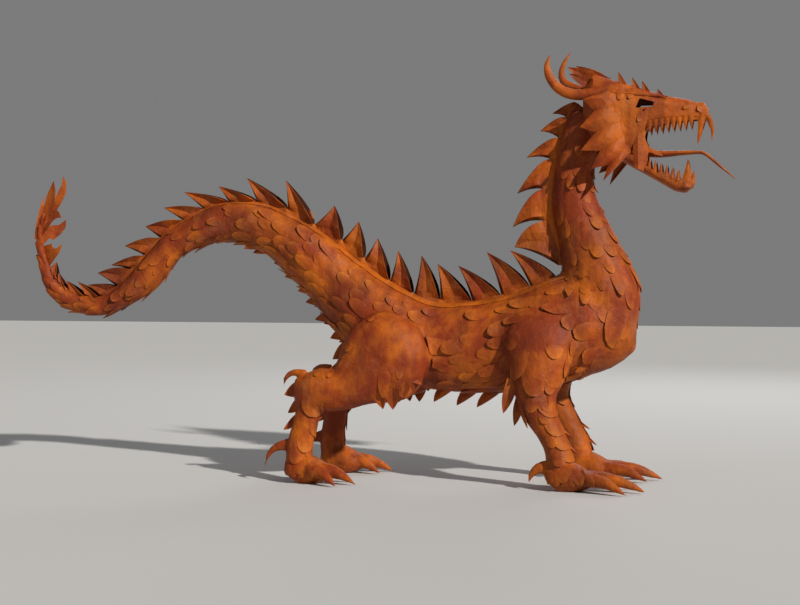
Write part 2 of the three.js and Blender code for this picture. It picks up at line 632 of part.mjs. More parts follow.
// Legs and feet; the left pair stands a little further forward than the right pair
const rearFoot = { toe: 440, turnOut: 10, spread: 22 };
const frontSpur = [
  [1120, stance, 150, 60, 36], [1040, stance, 150, 42, 28], [985, stance, 110, 24, 18],
  [960, stance, 40, 3, 3],
];
const frontFoot = { toe: 590, turnOut: 4, spread: 19, spur: frontSpur };
const leftStride = { rear: 90, front: 75 };
for (const [name, side] of [["right", -1], ["left", 1]]) {
  const [rearStride, frontStride] = side < 0 ? [0, 0] : [leftStride.rear, leftStride.front];
  const [rearAnkle, frontAnkle] = [shin.at(-2)[0], foreLimb.at(-2)[0]];
  nodes.set(`rear_leg_${name}`, largest(rearLeg(side, rearStride).subtract(legRoom)));
  nodes.set(`front_leg_${name}`, largest(frontLeg(side, frontStride).subtract(legRoom)));
  nodes.set(`rear_foot_${name}`, largest(
    foot(rearAnkle, rearFoot, side, rearStride, limbRoom(side, rearStride, shin)),
  ));
  nodes.set(`front_foot_${name}`, largest(
    foot(frontAnkle, frontFoot, side, frontStride, limbRoom(side, frontStride, foreLimb)),
  ));
}

// The nodes as meshes, moved so that the middle of the footprint is the origin
const sculpture = new THREE.Group();
sculpture.name = "steel_dragon_sculpture";
for (const [name, piece] of nodes) {
  const { vertProperties, triVerts, numProp } = piece.getMesh();
  const geometry = new THREE.BufferGeometry();
  const corners = Array.from({ length: vertProperties.length / numProp }, (_, index) => (
    [...vertProperties.slice(index * numProp, index * numProp + 3)]
  ));
  geometry.setAttribute("position", new THREE.Float32BufferAttribute(corners.flat(), 3));
  geometry.setIndex([...triVerts]);
  geometry.computeVertexNormals();
  const mesh = new THREE.Mesh(geometry, steel);
  mesh.name = name;
  sculpture.add(mesh);
}
const box = new THREE.Box3().setFromObject(sculpture);
sculpture.position.set(-(box.min.x + box.max.x) / 2, -(box.min.y + box.max.y) / 2, 0);

export default sculpture;
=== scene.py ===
import math
import random
from collections import namedtuple
from contextlib import contextmanager

import bmesh
import bpy
import numpy as np
from mathutils import Matrix, Vector
from mathutils.bvhtree import BVHTree


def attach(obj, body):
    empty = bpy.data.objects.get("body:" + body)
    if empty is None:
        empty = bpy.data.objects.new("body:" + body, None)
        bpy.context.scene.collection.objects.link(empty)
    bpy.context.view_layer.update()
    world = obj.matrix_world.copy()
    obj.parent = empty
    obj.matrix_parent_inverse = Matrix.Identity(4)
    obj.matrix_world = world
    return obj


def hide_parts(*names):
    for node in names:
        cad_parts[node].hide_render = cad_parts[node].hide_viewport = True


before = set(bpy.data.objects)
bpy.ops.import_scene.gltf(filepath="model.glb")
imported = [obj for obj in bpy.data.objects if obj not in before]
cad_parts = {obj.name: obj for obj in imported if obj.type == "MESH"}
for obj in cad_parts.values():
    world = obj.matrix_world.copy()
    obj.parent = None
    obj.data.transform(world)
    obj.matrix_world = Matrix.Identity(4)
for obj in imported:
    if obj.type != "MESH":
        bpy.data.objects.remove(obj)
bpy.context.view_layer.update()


# The torso, neck and tail. They are one hollow shell of beaten steel sheet, which weathers to rust. The
# sheets are drawn over hoops, welded edge to edge and dressed smooth, and the scales are welded on top.

# Stations of the torso, tail and neck from end to end: x, z and half height, in mm
TORSO = [
    (1636, 1150, 60), (1606, 1130, 165), (1536, 1110, 242), (1410, 1100, 322), (1252, 1107, 362),
    (926, 1000, 345), (574, 948, 322), (217, 958, 304), (-109, 1096, 296), (-417, 1357, 232),
    (-565, 1500, 205), (-700, 1606, 188),
]
TAIL = [
    (-500, 1438, 205), (-600, 1528, 206), (-737, 1633, 194), (-895, 1742, 166), (-1061, 1812, 158),
    (-1327, 1826, 138), (-1566, 1742, 114), (-1706, 1657, 104), (-1822, 1535, 108), (-1916, 1427, 110),
    (-2077, 1306, 85), (-2256, 1215, 68), (-2423, 1233, 66), (-2575, 1284, 68), (-2674, 1400, 56),
    (-2726, 1535, 40), (-2752, 1650, 31), (-2762, 1760, 26), (-2742, 1850, 20), (-2722, 1905, 12),
]
NECK = [
    (1330, 2560, 120), (1300, 2440, 142), (1243, 2245, 138), (1226, 2072, 140), (1244, 1914, 160),
    (1298, 1748, 184), (1362, 1541, 226), (1402, 1363, 276), (1400, 1215, 276), (1394, 1085, 262),
    (1378, 965, 215), (1360, 885, 140),
]
# Stations of the mounds of the shoulder and hip: x, y, z, half height and half width, in mm
SHOULDER = [
    (1045, 200, 1230, 90, 40), (1035, 225, 1130, 205, 105), (1027, 245, 990, 252, 143),
    (1020, 255, 860, 205, 135), (1012, 262, 760, 140, 95), (1010, 262, 720, 60, 50),
]
HIP = [
    (225, 215, 975, 130, 70), (110, 240, 932, 268, 150), (-23, 245, 885, 323, 168),
    (-140, 250, 815, 280, 155), (-215, 255, 770, 200, 115), (-250, 255, 745, 80, 60),
]
# The share of its half height that each is half wide, and how far apart its hoops stand, in metres
TORSO_WIDTH, TAIL_WIDTH, NECK_WIDTH = 0.78, 0.9, 0.8
TORSO_HOOPS, TAIL_HOOPS, NECK_HOOPS = 0.06, 0.045, 0.05
# The zero of the drawing lies behind the middle of the footprint by this much, in mm
DRAWING_ZERO = 245


def place(x, y, z):
    """A point of the drawing in mm, moved to its place in metres."""
    return Vector((x + DRAWING_ZERO, y, z)) / 1000


Line = namedtuple("Line", "run middle ahead side up high wide")


def curve_through(a, b, c, d, share):
    """The point at a share of the way from b to c, on the smooth curve through all four."""
    cubic = 2 * a - 5 * b + 4 * c - d + share * (3 * (b - c) + d - a)
    return b + 0.5 * share * (c - a + share * cubic)


def bend(stations, spacing):
    """Even hoops on the smooth line through the stations x, y, z, half height and half width."""
    knots = np.array(stations, float) / 1000
    knots[:, 0] += DRAWING_ZERO / 1000
    ends = np.vstack([2 * knots[0] - knots[1], knots, 2 * knots[-1] - knots[-2]])
    ends[[0, -1], 3:] = knots[[0, -1], 3:]
    share = np.linspace(0, 1, 16, endpoint=False)[:, None]
    pieces = [curve_through(*four, share) for four in zip(ends, ends[1:], ends[2:], ends[3:])]
    fine = np.vstack(pieces + [knots[-1:]])
    steps = np.linalg.norm(np.diff(fine[:, :3], axis=0), axis=1)
    run = np.concatenate([[0], np.cumsum(steps)])
    even = np.linspace(0, run[-1], max(int(run[-1] / spacing), 4))
    hoops = np.column_stack([np.interp(even, run, column) for column in fine.T])
    ahead = np.gradient(hoops[:, :3], axis=0)
    ahead /= np.linalg.norm(ahead, axis=1)[:, None]
    side = np.array([0.0, 1.0, 0.0]) - ahead * ahead[:, 1:2]
    side /= np.linalg.norm(side, axis=1)[:, None]
    up = np.cross(side, ahead)
    return Line(even, hoops[:, :3], ahead, side, up, hoops[:, 3], hoops[:, 4])


def on_skin(line, along, turn):
    """Points on the round skin of a line, at distances along it and turns about it from its top."""
    def between(values):
        return np.stack([np.interp(along, line.run, column) for column in values.T], axis=-1)
    high, wide = np.interp(along, line.run, line.high), np.interp(along, line.run, line.wide)
    rise, out = (high * np.cos(turn))[..., None], (wide * np.sin(turn))[..., None]
    return between(line.middle) + between(line.up) * rise + between(line.side) * out


def draw_over(name, line, sides=20):
    """Draws a sheet over the hoops of a line: ring after ring, each bridged to the one before it."""
    bpy.ops.object.select_all(action="DESELECT")
    for hoop, middle in enumerate(line.middle):
        axes = [list(line.up[hoop]), list(line.side[hoop]), list(line.ahead[hoop])]
        turned = Matrix(axes).transposed().to_euler()
        bpy.ops.mesh.primitive_circle_add(vertices=sides, radius=1, location=middle, rotation=turned)
        if hoop == 0:
            piece = bpy.context.object
            piece.name = piece.data.name = name
            bpy.ops.object.transform_apply(location=True, rotation=True, scale=True)
            bpy.ops.object.mode_set(mode="EDIT")
            bpy.ops.mesh.select_all(action="SELECT")
        size = (line.high[hoop], line.wide[hoop], 1)
        bpy.ops.transform.resize(
            value=size, orient_type="GLOBAL", orient_matrix=axes, orient_matrix_type="GLOBAL",
            center_override=middle)
        if hoop > 0:
            pick_points(piece, lambda point: point.index >= (hoop - 1) * sides)
            bpy.ops.mesh.bridge_edge_loops()
    for first in (0, (len(line.middle) - 1) * sides):
        pick_points(piece, lambda point: first <= point.index < first + sides)
        bpy.ops.mesh.edge_face_add()
    bpy.ops.mesh.select_all(action="SELECT")
    bpy.ops.mesh.normals_make_consistent(inside=False)
    bpy.ops.object.mode_set(mode="OBJECT")
    return piece


def pick_points(piece, wanted):
    """Selects the points of a piece in edit mode that are wanted, and nothing else."""
    mesh = bmesh.from_edit_mesh(piece.data)
    mesh.verts.index_update()
    for point in mesh.verts:
        point.select = wanted(point)
    mesh.select_flush(True)
    bmesh.update_edit_mesh(piece.data)


def choose(*pieces):
    """Selects the pieces and nothing else."""
    bpy.ops.object.select_all(action="DESELECT")
    for piece in pieces:
        piece.select_set(True)
    bpy.context.view_layer.objects.active = pieces[0]


@contextmanager
def edited(piece):
    """Opens a piece in edit mode with all of it selected, and closes it again."""
    choose(piece)
    bpy.ops.object.mode_set(mode="EDIT")
    bpy.ops.mesh.select_all(action="SELECT")
    yield
    bpy.ops.object.mode_set(mode="OBJECT")


def soften(piece, angle):
    """Shades a piece smooth where its faces meet at less than an angle in degrees."""
    choose(piece)
    bpy.ops.object.shade_smooth_by_angle(angle=math.radians(angle))


def modify(piece, kind, **settings):
    """Adds a modifier to a piece and applies it."""
    choose(piece)
    modifier = piece.modifiers.new(kind.title(), kind)
    for name, value in settings.items():
        setattr(modifier, name, value)
    bpy.ops.object.modifier_apply(modifier=modifier.name)


def weld_together(name, pieces):
    """Joins the pieces to one object under a name."""
    choose(*pieces)
    if len(pieces) > 1:
        bpy.ops.object.join()
    pieces[0].name = pieces[0].data.name = name
    return pieces[0]


def beat_smooth(name, pieces, voxel, passes, dents, dent_size=0.11):
    """Welds overlapping pieces to one shell, dresses the joins and leaves the marks of the hammer."""
    shell = weld_together(name, pieces)
    modify(shell, "REMESH", mode="VOXEL", voxel_size=voxel)
    modify(shell, "SMOOTH", factor=0.5, iterations=passes)
    hammer = bpy.data.textures.new(f"{name}_hammer", "CLOUDS")
    hammer.noise_scale = dent_size
    modify(shell, "DISPLACE", texture=hammer, strength=dents, mid_level=0.5, texture_coords="LOCAL")
    choose(shell)
    bpy.ops.object.shade_smooth()
    return shell


def fit_out(piece, material, *nodes):
    """Gives a piece its finish, fixes it to the sculpture and hides the solids that it stands for."""
    piece.data.materials.clear()
    piece.data.materials.append(material)
    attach(piece, "root")
    if nodes:
        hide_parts(*nodes)


def flat_line(rows, width):
    """Stations on the middle plane, each as wide as a share of its height."""
    return [(x, 0, z, high, high * width) for x, z, high in rows]


class Socket:
    """The output of a shader node. A sum or product of it adds the Math node that works it out."""

    def __init__(self, finish, output):
        self.finish, self.output = finish, output

    def maths(self, operation, first, second):
        return self.finish.node("ShaderNodeMath", {"operation": operation}, {0: first, 1: second})

    def __add__(self, other):
        return self.maths("ADD", self, other)

    def __radd__(self, other):
        return self.maths("ADD", other, self)

    def __sub__(self, other):
        return self.maths("SUBTRACT", self, other)

    def __rsub__(self, other):
        return self.maths("SUBTRACT", other, self)

    def __mul__(self, other):
        return self.maths("MULTIPLY", self, other)

    def __rmul__(self, other):
        return self.maths("MULTIPLY", other, self)


class Finish:
    """A material and the nodes that make it."""

    def __init__(self, name):
        self.material = bpy.data.materials.new(name)
        self.material.use_nodes = True
        self.tree = self.material.node_tree
        self.tree.nodes.clear()

    def node(self, kind, settings=None, inputs=None, output=0):
        made = self.tree.nodes.new(kind)
        for name, value in (settings or {}).items():
            setattr(made, name, value)
        for name, value in (inputs or {}).items():
            if isinstance(value, Socket):
                self.tree.links.new(value.output, made.inputs[name])
            else:
                made.inputs[name].default_value = value
        return Socket(self, made.outputs[output]) if made.outputs else None

    def noise(self, where, scale, detail, rough):
        inputs = {"Vector": where, "Scale": scale, "Detail": detail, "Roughness": rough}
        return self.node("ShaderNodeTexNoise", {}, inputs)

    def spread(self, value, low, high):
        """Stretches a value so that low becomes 0 and high becomes 1, and stops there."""
        inputs = {"Value": value, "From Min": low, "From Max": high, "To Min": 0.0, "To Max": 1.0}
        return self.node("ShaderNodeMapRange", {"clamp": True}, inputs)

    def tint(self, share, under, over):
        """Lays one colour over another by a share."""
        return self.node("ShaderNodeMix", {"data_type": "RGBA"}, {0: share, 6: under, 7: over}, output=2)


# The rust on the steel runs from bright orange at the rims to dark red brown, with streaks where rain runs
ORANGE_RUST = (0.47, 0.11, 0.008, 1)
BROWN_RUST = (0.235, 0.035, 0.008, 1)
DARK_RUST = (0.085, 0.017, 0.008, 1)
BRIGHT_RUST = (0.72, 0.24, 0.012, 1)
PALE_RUST = (0.44, 0.17, 0.08, 1)
# Nearly black painted shade, for the inner faces of folded sheets where shade falls
PAINTED_SHADE_BLACK = (0.012, 0.005, 0.004, 1)
# Sizes of the rust's patterns, as repeats in a metre
PATCHES, STAINS, BLOOM, CLOUDS, HAMMER_MARKS, SPECKS = 2.3, 1.7, 5.2, 9.0, 26.0, 120.0
RAIN_ACROSS, RAIN_DOWN = 9.0, 1.1
RELIEF_HEIGHT = 0.006


def rusty_steel(name, brightness, plates=False, with_painted_shade=False):
    """Rust for one kind of piece. Brightness moves it from red brown to orange.

    Plates differ in tone and have bright rims. Where painted shade is asked for, the inner faces marked for
    it are painted nearly black as shade, and made rough so that they show no highlight.
    """
    finish = Finish(name)
    where = finish.node("ShaderNodeTexCoord", output=3)
    rain_scale = (RAIN_ACROSS, RAIN_ACROSS, RAIN_DOWN)
    rain = finish.node("ShaderNodeMapping", {}, {"Vector": where, "Scale": rain_scale})
    patches = finish.spread(finish.noise(where, PATCHES, 5.0, 0.6), 0.4, 0.6)
    clouds = finish.spread(finish.noise(where, CLOUDS, 6.0, 0.65), 0.3, 0.7)
    streaks = finish.spread(finish.noise(rain, 1.0, 5.0, 0.6), 0.42, 0.7)
    specks = finish.noise(where, SPECKS, 3.0, 0.7)
    bloom = finish.spread(finish.noise(where, BLOOM, 7.0, 0.72), 0.55, 0.74)
    share = patches * 0.8 + clouds * 0.6 + specks * 0.4 + (brightness - 0.95)
    if plates:
        tone = finish.node("ShaderNodeAttribute", {"attribute_name": "tone"}, output=2)
        share = share + (tone - 0.5) * 0.6
    colour = finish.tint(finish.spread(share, 0.0, 1.0), BROWN_RUST, ORANGE_RUST)
    stains = finish.spread(finish.noise(where, STAINS, 6.0, 0.62), 0.5, 0.66)
    colour = finish.tint(stains * 0.5, colour, DARK_RUST)
    colour = finish.tint(streaks * 0.55, colour, DARK_RUST)
    colour = finish.tint(bloom * 0.32, colour, PALE_RUST)
    if plates:
        rim = finish.node("ShaderNodeAttribute", {"attribute_name": "rim"}, output=2)
        colour = finish.tint(rim * (clouds * 0.5 + 0.12), colour, BRIGHT_RUST)
    # Painted shade: faces marked as inner are tinted nearly black, standing in for the shade between a
    # sheet's two wings
    if with_painted_shade:
        painted_shade = finish.node("ShaderNodeAttribute", {"attribute_name": "painted_shade"}, output=2)
        colour = finish.tint(painted_shade * 0.93, colour, PAINTED_SHADE_BLACK)
    hammer = finish.noise(where, HAMMER_MARKS, 2.0, 0.5)
    relief = clouds * 0.4 + specks * 0.3 + streaks * 0.15 + hammer * 1.3
    bump = finish.node("ShaderNodeBump", {}, {
        "Height": relief, "Strength": 0.85, "Distance": RELIEF_HEIGHT,
    })
    shine = finish.spread(clouds * 0.6 + specks * 0.4, -0.2, 1.4) * 0.4 + 0.34
    # The painted shade is also made rough, so that it shows no highlight
    if with_painted_shade:
        shine = shine + painted_shade * 0.6
    surface = finish.node("ShaderNodeBsdfPrincipled", {}, {
        "Base Color": colour, "Roughness": shine, "Metallic": 0.0, "Specular IOR Level": 0.14,
        "Normal": bump,
    })
    finish.node("ShaderNodeOutputMaterial", {}, {"Surface": surface})
    return finish.material


torso = bend(flat_line(TORSO, TORSO_WIDTH), TORSO_HOOPS)
tail = bend(flat_line(TAIL, TAIL_WIDTH), TAIL_HOOPS)
neck = bend(flat_line(NECK, NECK_WIDTH), NECK_HOOPS)
mounds = []
for side in (-1, 1):
    for stations in (SHOULDER, HIP):
        line = bend([(x, side * y, *rest) for x, y, *rest in stations], 0.05)
        mounds.append(draw_over("mound", line))
sheets = [draw_over("torso_sheets", torso), draw_over("tail_sheets", tail, 16)]
sheets.append(draw_over("neck_sheets", neck))
shell = beat_smooth("body_shell", sheets + mounds, voxel=0.014, passes=12, dents=0.010)
shell_steel = rusty_steel("dressed_shell", 0.33)
fit_out(shell, shell_steel, "body_skin")


# The scales. Each is a small plate of thin steel sheet with a round free end, cut to one pattern, domed over
# a form and welded at its root. Rows of them overlap like tiles, their free ends a little off the shell.

# The pattern: how far along a scale, and what share of the full width it has there
SCALE_ROWS = [(0.0, 0.84), (0.28, 0.97), (0.5, 1.0), (0.68, 0.95), (0.83, 0.78), (0.94, 0.5), (1.0, 0.2)]
PLATE_THICKNESS = 0.003
CROWN_HEIGHT = 0.005
# Scales stop short of the keel by this angle in radians, and this share of the rest is bare
BARE_TURN, BARE_SHARE = 0.5, 0.28
DEEPEST_ROOT, SCALE_BED, PLATE_BED = 0.035, 0.006, 0.004


def form_grid(name, columns, rows, shape):
    """A flat grid, with each point put where the shape says for its place across and along, from 0 to 1."""
    bpy.ops.object.select_all(action="DESELECT")
    bpy.ops.mesh.primitive_grid_add(x_subdivisions=columns, y_subdivisions=rows, size=1)
    sheet = bpy.context.object
    sheet.name = sheet.data.name = name
    for point in sheet.data.vertices:
        point.co = shape(point.co.x + 0.5, point.co.y + 0.5)
    return sheet


def scale_pattern(u, v):
    along, share = SCALE_ROWS[round(v * (len(SCALE_ROWS) - 1))]
    return (round(u * 4) / 4 - 0.5) * share, along, 0


scale_blank = form_grid("scale_blank", 4, len(SCALE_ROWS) - 1, scale_pattern)
blank_points = np.array([point.co for point in scale_blank.data.vertices])
blank_faces = [tuple(face.vertices) for face in scale_blank.data.polygons]
bpy.data.objects.remove(scale_blank)


def feel_skin(piece):
    """A tree of the piece's faces, to lay plates on it."""
    points = [point.co.copy() for point in piece.data.vertices]
    return BVHTree.FromPolygons(points, [tuple(face.vertices) for face in piece.data.polygons])


def lay_plate(tree, spots, bed, lift):
    """Presses one plate on to the skin. Its root sits as deep as bed; its free end stands off by lift."""
    laid = []
    for spot, (across, along, _) in zip(spots, blank_points):
        found, normal, _, _ = tree.find_nearest(Vector(spot))
        crown = CROWN_HEIGHT * (1 - 4 * across * across)
        laid.append(found + normal * (crown - bed + (lift + bed) * along ** 1.6))
    return laid


def scale_coat(name, line, tree, start, end, pitch, width, lift, length, seed):
    """Lays rows of scales along a line, from start to end. Pitch and width are each given there and there.

    Length is a share of the pitch. The seed settles which scales are turned, lifted or left out.
    """
    chance = random.Random(seed)
    points, faces, tones = [], [], []
    along, row = start, 0
    while along < end:
        done = (along - start) / (end - start)
        step = pitch[0] + (pitch[1] - pitch[0]) * done
        high, wide = np.interp(along, line.run, line.high), np.interp(along, line.run, line.wide)
        girth = math.pi * (3 * (high + wide) - math.sqrt((3 * high + wide) * (high + 3 * wide)))
        count = max(round(girth / (width[0] + (width[1] - width[0]) * done)), 5)
        for index in range(count):
            turn = 2 * math.pi * (index + (row % 2) / 2 + chance.uniform(-0.24, 0.24)) / count
            if abs((turn + math.pi) % (2 * math.pi) - math.pi) < BARE_TURN or chance.random() < BARE_SHARE:
                continue
            root = along + step * chance.uniform(-0.34, 0.34)
            reach, broad = step * length * chance.uniform(0.8, 1.2), chance.uniform(0.62, 1.05)
            skew = chance.uniform(-0.28, 0.28)
            turns = turn + (blank_points[:, 0] * broad + skew * blank_points[:, 1]) * 2 * math.pi / count
            spots = on_skin(line, root + blank_points[:, 1] * reach, turns)
            centre = Vector(spots.mean(axis=0))
            found, normal, _, _ = tree.find_nearest(centre)
            if (centre - found).dot(normal) < -DEEPEST_ROOT:
                continue
            first = len(points)
            raised = lift * chance.choice((0.0, 0.15, 0.3, 0.6, 0.9, 1.2, 1.6))
            points += lay_plate(tree, spots, SCALE_BED, raised)
            faces += [tuple(first + corner for corner in face) for face in blank_faces]
            tones += [chance.random()] * len(blank_points)
        along += step
        row += 1
    return plate_coat(name, points, faces, tones)


def plate_coat(name, points, faces, tones):
    """Makes the laid plates one piece, marks their tone and rims, and gives them their thickness."""
    mesh = bpy.data.meshes.new(name)
    mesh.from_pydata([tuple(point) for point in points], [], faces)
    mesh.update()
    tone = mesh.attributes.new("tone", "FLOAT", "POINT")
    tone.data.foreach_set("value", tones)
    rim = mesh.attributes.new("rim", "FLOAT", "POINT")
    edge = np.clip(blank_points[:, 1] - 0.6, 0, 1) / 0.4 * (np.abs(blank_points[:, 0]) * 1.2 + 0.2)
    rim.data.foreach_set("value", np.tile(np.clip(edge, 0, 1), len(tones) // len(edge)).astype(np.float32))
    coat = bpy.data.objects.new(name, mesh)
    bpy.context.scene.collection.objects.link(coat)
    modify(coat, "SOLIDIFY", thickness=PLATE_THICKNESS, offset=1.0)
    soften(coat, 40)
    return coat


plate_steel = rusty_steel("scale_plates", 0.38, plates=True)
shell_tree = feel_skin(shell)
torso_scales = scale_coat(
    "torso_scales", torso, shell_tree, start=0.02, end=torso.run[-1] - 0.05,
    pitch=(0.125, 0.115), width=(0.115, 0.105), lift=0.013, length=1.75, seed=3)
tail_scales = scale_coat(
    "tail_scales", tail, shell_tree, start=0.08, end=tail.run[-1] - 0.06,
    pitch=(0.115, 0.07), width=(0.105, 0.055), lift=0.011, length=1.75, seed=5)
neck_scales = scale_coat(
    "neck_scales", neck, shell_tree, start=0.16, end=neck.run[-1] - 0.12,
    pitch=(0.085, 0.115), width=(0.075, 0.095), lift=0.011, length=1.7, seed=7)
for coat in (torso_scales, tail_scales, neck_scales):
    fit_out(coat, plate_steel, "body_skin")


# The keel strips. A narrow band of bright, freshly rusted sheet runs along the middle of the back and of the
# neck, wraps a little way down each side, and carries the fins along its middle.

# The middle of the back's strip and of the neck's, from front to back: x and z in mm
BACK_KEEL = [
    (1114, 1438), (926, 1375), (722, 1312), (517, 1271), (289, 1280), (98, 1314), (-74, 1413), (-260, 1570),
    (-425, 1700), (-629, 1811), (-828, 1932), (-1061, 1984), (-1274, 1979), (-1470, 1930), (-1630, 1849),
    (-1807, 1720), (-1932, 1593), (-2040, 1496), (-2149, 1365), (-2276, 1288), (-2396, 1296), (-2524, 1317),
    (-2617, 1415), (-2677, 1500),
]
NECK_KEEL = [
    (1245, 2640), (1169, 2540), (1117, 2399), (1057, 2254), (1004, 2047), (1012, 1826), (1128, 1514),
]
STRIP_DEPTH, BACK_STRIP_HALF, NECK_STRIP_HALF = 50, 21, 19
BAND_HALF_TURN, BAND_GAP = 0.42, 0.004


def shape_sheet(name, columns, rows, shape, thick, angle=38):
    """A grid of sheet, formed to a shape, closed where its points meet, and given its thickness."""
    sheet = form_grid(name, columns, rows, shape)
    with edited(sheet):
        bpy.ops.mesh.remove_doubles(threshold=0.0004)
        bpy.ops.mesh.normals_make_consistent(inside=False)
    modify(sheet, "SOLIDIFY", thickness=thick, offset=0.0)
    soften(sheet, angle)
    return sheet


def keel_strip(name, knots, depth, half):
    """A strip drawn along the knots, sunk so that its top lies on them."""
    line = bend([(x, 0, z, depth, half) for x, z in knots], 0.06)
    sunk = line.middle - line.up * line.high[:, None] * 0.9
    return draw_over(name, line._replace(middle=sunk), 10)


keel_steel = rusty_steel("bright_keel", 1.25)
strips = [
    keel_strip("back_strip", BACK_KEEL, STRIP_DEPTH, BACK_STRIP_HALF),
    keel_strip("neck_strip", NECK_KEEL, STRIP_DEPTH, NECK_STRIP_HALF),
]
strips = beat_smooth("keel_strips", strips, voxel=0.009, passes=2, dents=0.004, dent_size=0.05)
fit_out(strips, keel_steel, "body_skin")


def lay_band(name, line, start, end):
    """A sheet that wraps the top of a line from start to end, and comes a little way down each side."""
    def shape(u, v):
        spot = on_skin(line, np.array(start + (end - start) * v), np.array((u * 2 - 1) * BAND_HALF_TURN))
        found, normal, _, _ = shell_tree.find_nearest(Vector(spot))
        return found + normal * BAND_GAP
    return shape_sheet(name, 10, 90, shape, PLATE_THICKNESS)


bands = [
    lay_band("torso_band", torso, 0.3, torso.run[-1] - 0.12),
    lay_band("tail_band", tail, 0.08, tail.run[-1] * 0.8),
]
fit_out(weld_together("back_bands", bands), keel_steel, "body_skin")


# The fins. Each is one leaf of thin steel sheet folded down its rear edge, so that its two wings open to the
# front. They are welded to the keel from the shoulder to the tail's tip, and down the back of the neck.

# The tips of the fins on the back and on the neck, from front to back: x and z in mm
BACK_TIPS = [
    (789, 1621), (624, 1608), (422, 1514), (273, 1528), (157, 1585), (-13, 1620), (-162, 1709), (-302, 1830),
    (-479, 1943), (-837, 2126), (-1131, 2147), (-1347, 2091), (-1612, 2052), (-1771, 1940), (-1916, 1804),
    (-2077, 1663), (-2184, 1522), (-2293, 1463), (-2373, 1374), (-2453, 1396), (-2543, 1403), (-2609, 1463),
    (-2626, 1545),
]
NECK_TIPS = [(1082, 2565), (998, 2446), (902, 2264), (838, 2018), (807, 1787), (818, 1646)]
# How far the rear edge and the front edge are bowed, as a share of their length
SHOULDER_BOWS, TAIL_BOWS, NECK_BOWS = (-0.06, 0.15), (-0.03, 0.24), (-0.16, 0.25)
FIN_THICKNESS, FIN_SUNK, FIN_GAP = 0.005, 0.03, 0.004


def bowed(foot, tip, outward, bow, share):
    """The point at a share of the way from foot to tip, on an edge bowed outward."""
    middle = (foot + tip) / 2 + outward * bow * (tip - foot).length
    return foot * (1 - share) ** 2 + middle * 2 * share * (1 - share) + tip * share ** 2


def fold_fin(name, rear, front, tip, rear_bow, front_bow):
    """A leaf between its two feet and its tip, folded at the rear and open at the front."""
    rear, front, tip = (place(x, 0, z) for x, z in (rear, front, tip))
    across = (front - rear).normalized()
    up = Vector((-across.z, 0, across.x)) if across.x > 0 else Vector((across.z, 0, -across.x))
    up = up if up.dot(tip - rear) > 0 else -up
    rear, front = rear + across * FIN_GAP, front - across * FIN_GAP
    spans = []
    for share in (0.3, 0.72):
        fold, mouth = bowed(rear, tip, across, -rear_bow, share), bowed(front, tip, across, front_bow, share)
        spans.append((fold - mouth).length)
    # How far each wing stands out at its foot, just above it, at 0.3 and 0.72 of its height, and at its tip
    opening = [0.02, 0.045, min(spans[0] * 0.4, 0.07), min(spans[1] * 0.5, 0.055), 0.003]

    def shape(u, v):
        wing, reach = (-1 if u < 0.5 else 1), abs(u * 2 - 1)
        share = max(0.0, v * 1.1 - 0.1)
        fold = bowed(rear, tip, across, -rear_bow, share)
        mouth = bowed(front, tip, across, front_bow, share)
        point = fold.lerp(mouth, reach) - up * FIN_SUNK * max(0.0, 1 - v * 10)
        flare = np.interp(reach, (0, 0.12, 0.5, 1), (0, 0.6, 0.42, 1))
        flare = max(flare, min(1.0, 1.2 - share * 12) * min(1.0, reach * 3))
        point.y = wing * np.interp(share, (0, 0.1, 0.3, 0.72, 1), opening) * flare
        return point
    # The inner faces of the wings are marked to be painted nearly black as shade
    return paint_inner_shade(shape_sheet(name, 16, 10, shape, FIN_THICKNESS, 9))


def paint_inner_shade(piece):
    """Marks the faces that look towards the middle of the sculpture, to be painted nearly black as shade."""
    painted_shade = piece.data.attributes.new("painted_shade", "FLOAT", "POINT")
    inner = [float(point.normal.y * point.co.y < 0) for point in piece.data.vertices]
    painted_shade.data.foreach_set("value", inner)
    return piece


# The fins' finish paints their marked inner faces nearly black as shade
fin_steel = rusty_steel("fin_sheet", 0.6, with_painted_shade=True)
for number, tip in enumerate(BACK_TIPS, 1):
    name = f"back_fin_{number:02d}"
    bows = SHOULDER_BOWS if number < 10 else TAIL_BOWS
    fin = fold_fin(f"{name}_leaf", BACK_KEEL[number], BACK_KEEL[number - 1], tip, *bows)
    fit_out(fin, fin_steel, name)
for number, tip in enumerate(NECK_TIPS, 1):
    name = f"neck_fin_{number}"
    fin = fold_fin(f"{name}_leaf", NECK_KEEL[number], NECK_KEEL[number - 1], tip, *NECK_BOWS)
    fit_out(fin, fin_steel, name)


# The leaves at the end of the tail and the hanging leaves, all cut from sheet. Six flat flames stand at the
# tail's end; creased leaves hang in two rows under the root of the tail, and in one row under the belly.
def cut_leaf(name, rear, front, tip, rear_bow=0.15, front_bow=0.15, crease=0.012, root=0.03, thick=0.004):
    """A creased leaf on its two feet, given as points in metres."""
    across, middle = (front - rear).normalized(), (rear + front) / 2
    inward = (middle - tip).normalized() * root
    normal = across.cross(inward).normalized()

    def shape(u, v):
        share = max(0.0, v * 1.15 - 0.15)
        sunk = inward * max(0.0, 1 - v * 1.15 / 0.15)
        one = bowed(rear, tip, across, -rear_bow, share)
        other = bowed(front, tip, across, front_bow, share)
        return one.lerp(other, u) + sunk + normal * crease * (1 - abs(2 * u - 1)) * (1 - 0.7 * share)
    return shape_sheet(name, 4, 8, shape, thick, 20)


leaf_steel = rusty_steel("leaf_sheet", 0.6)


FLAME_THICKNESS = 0.005


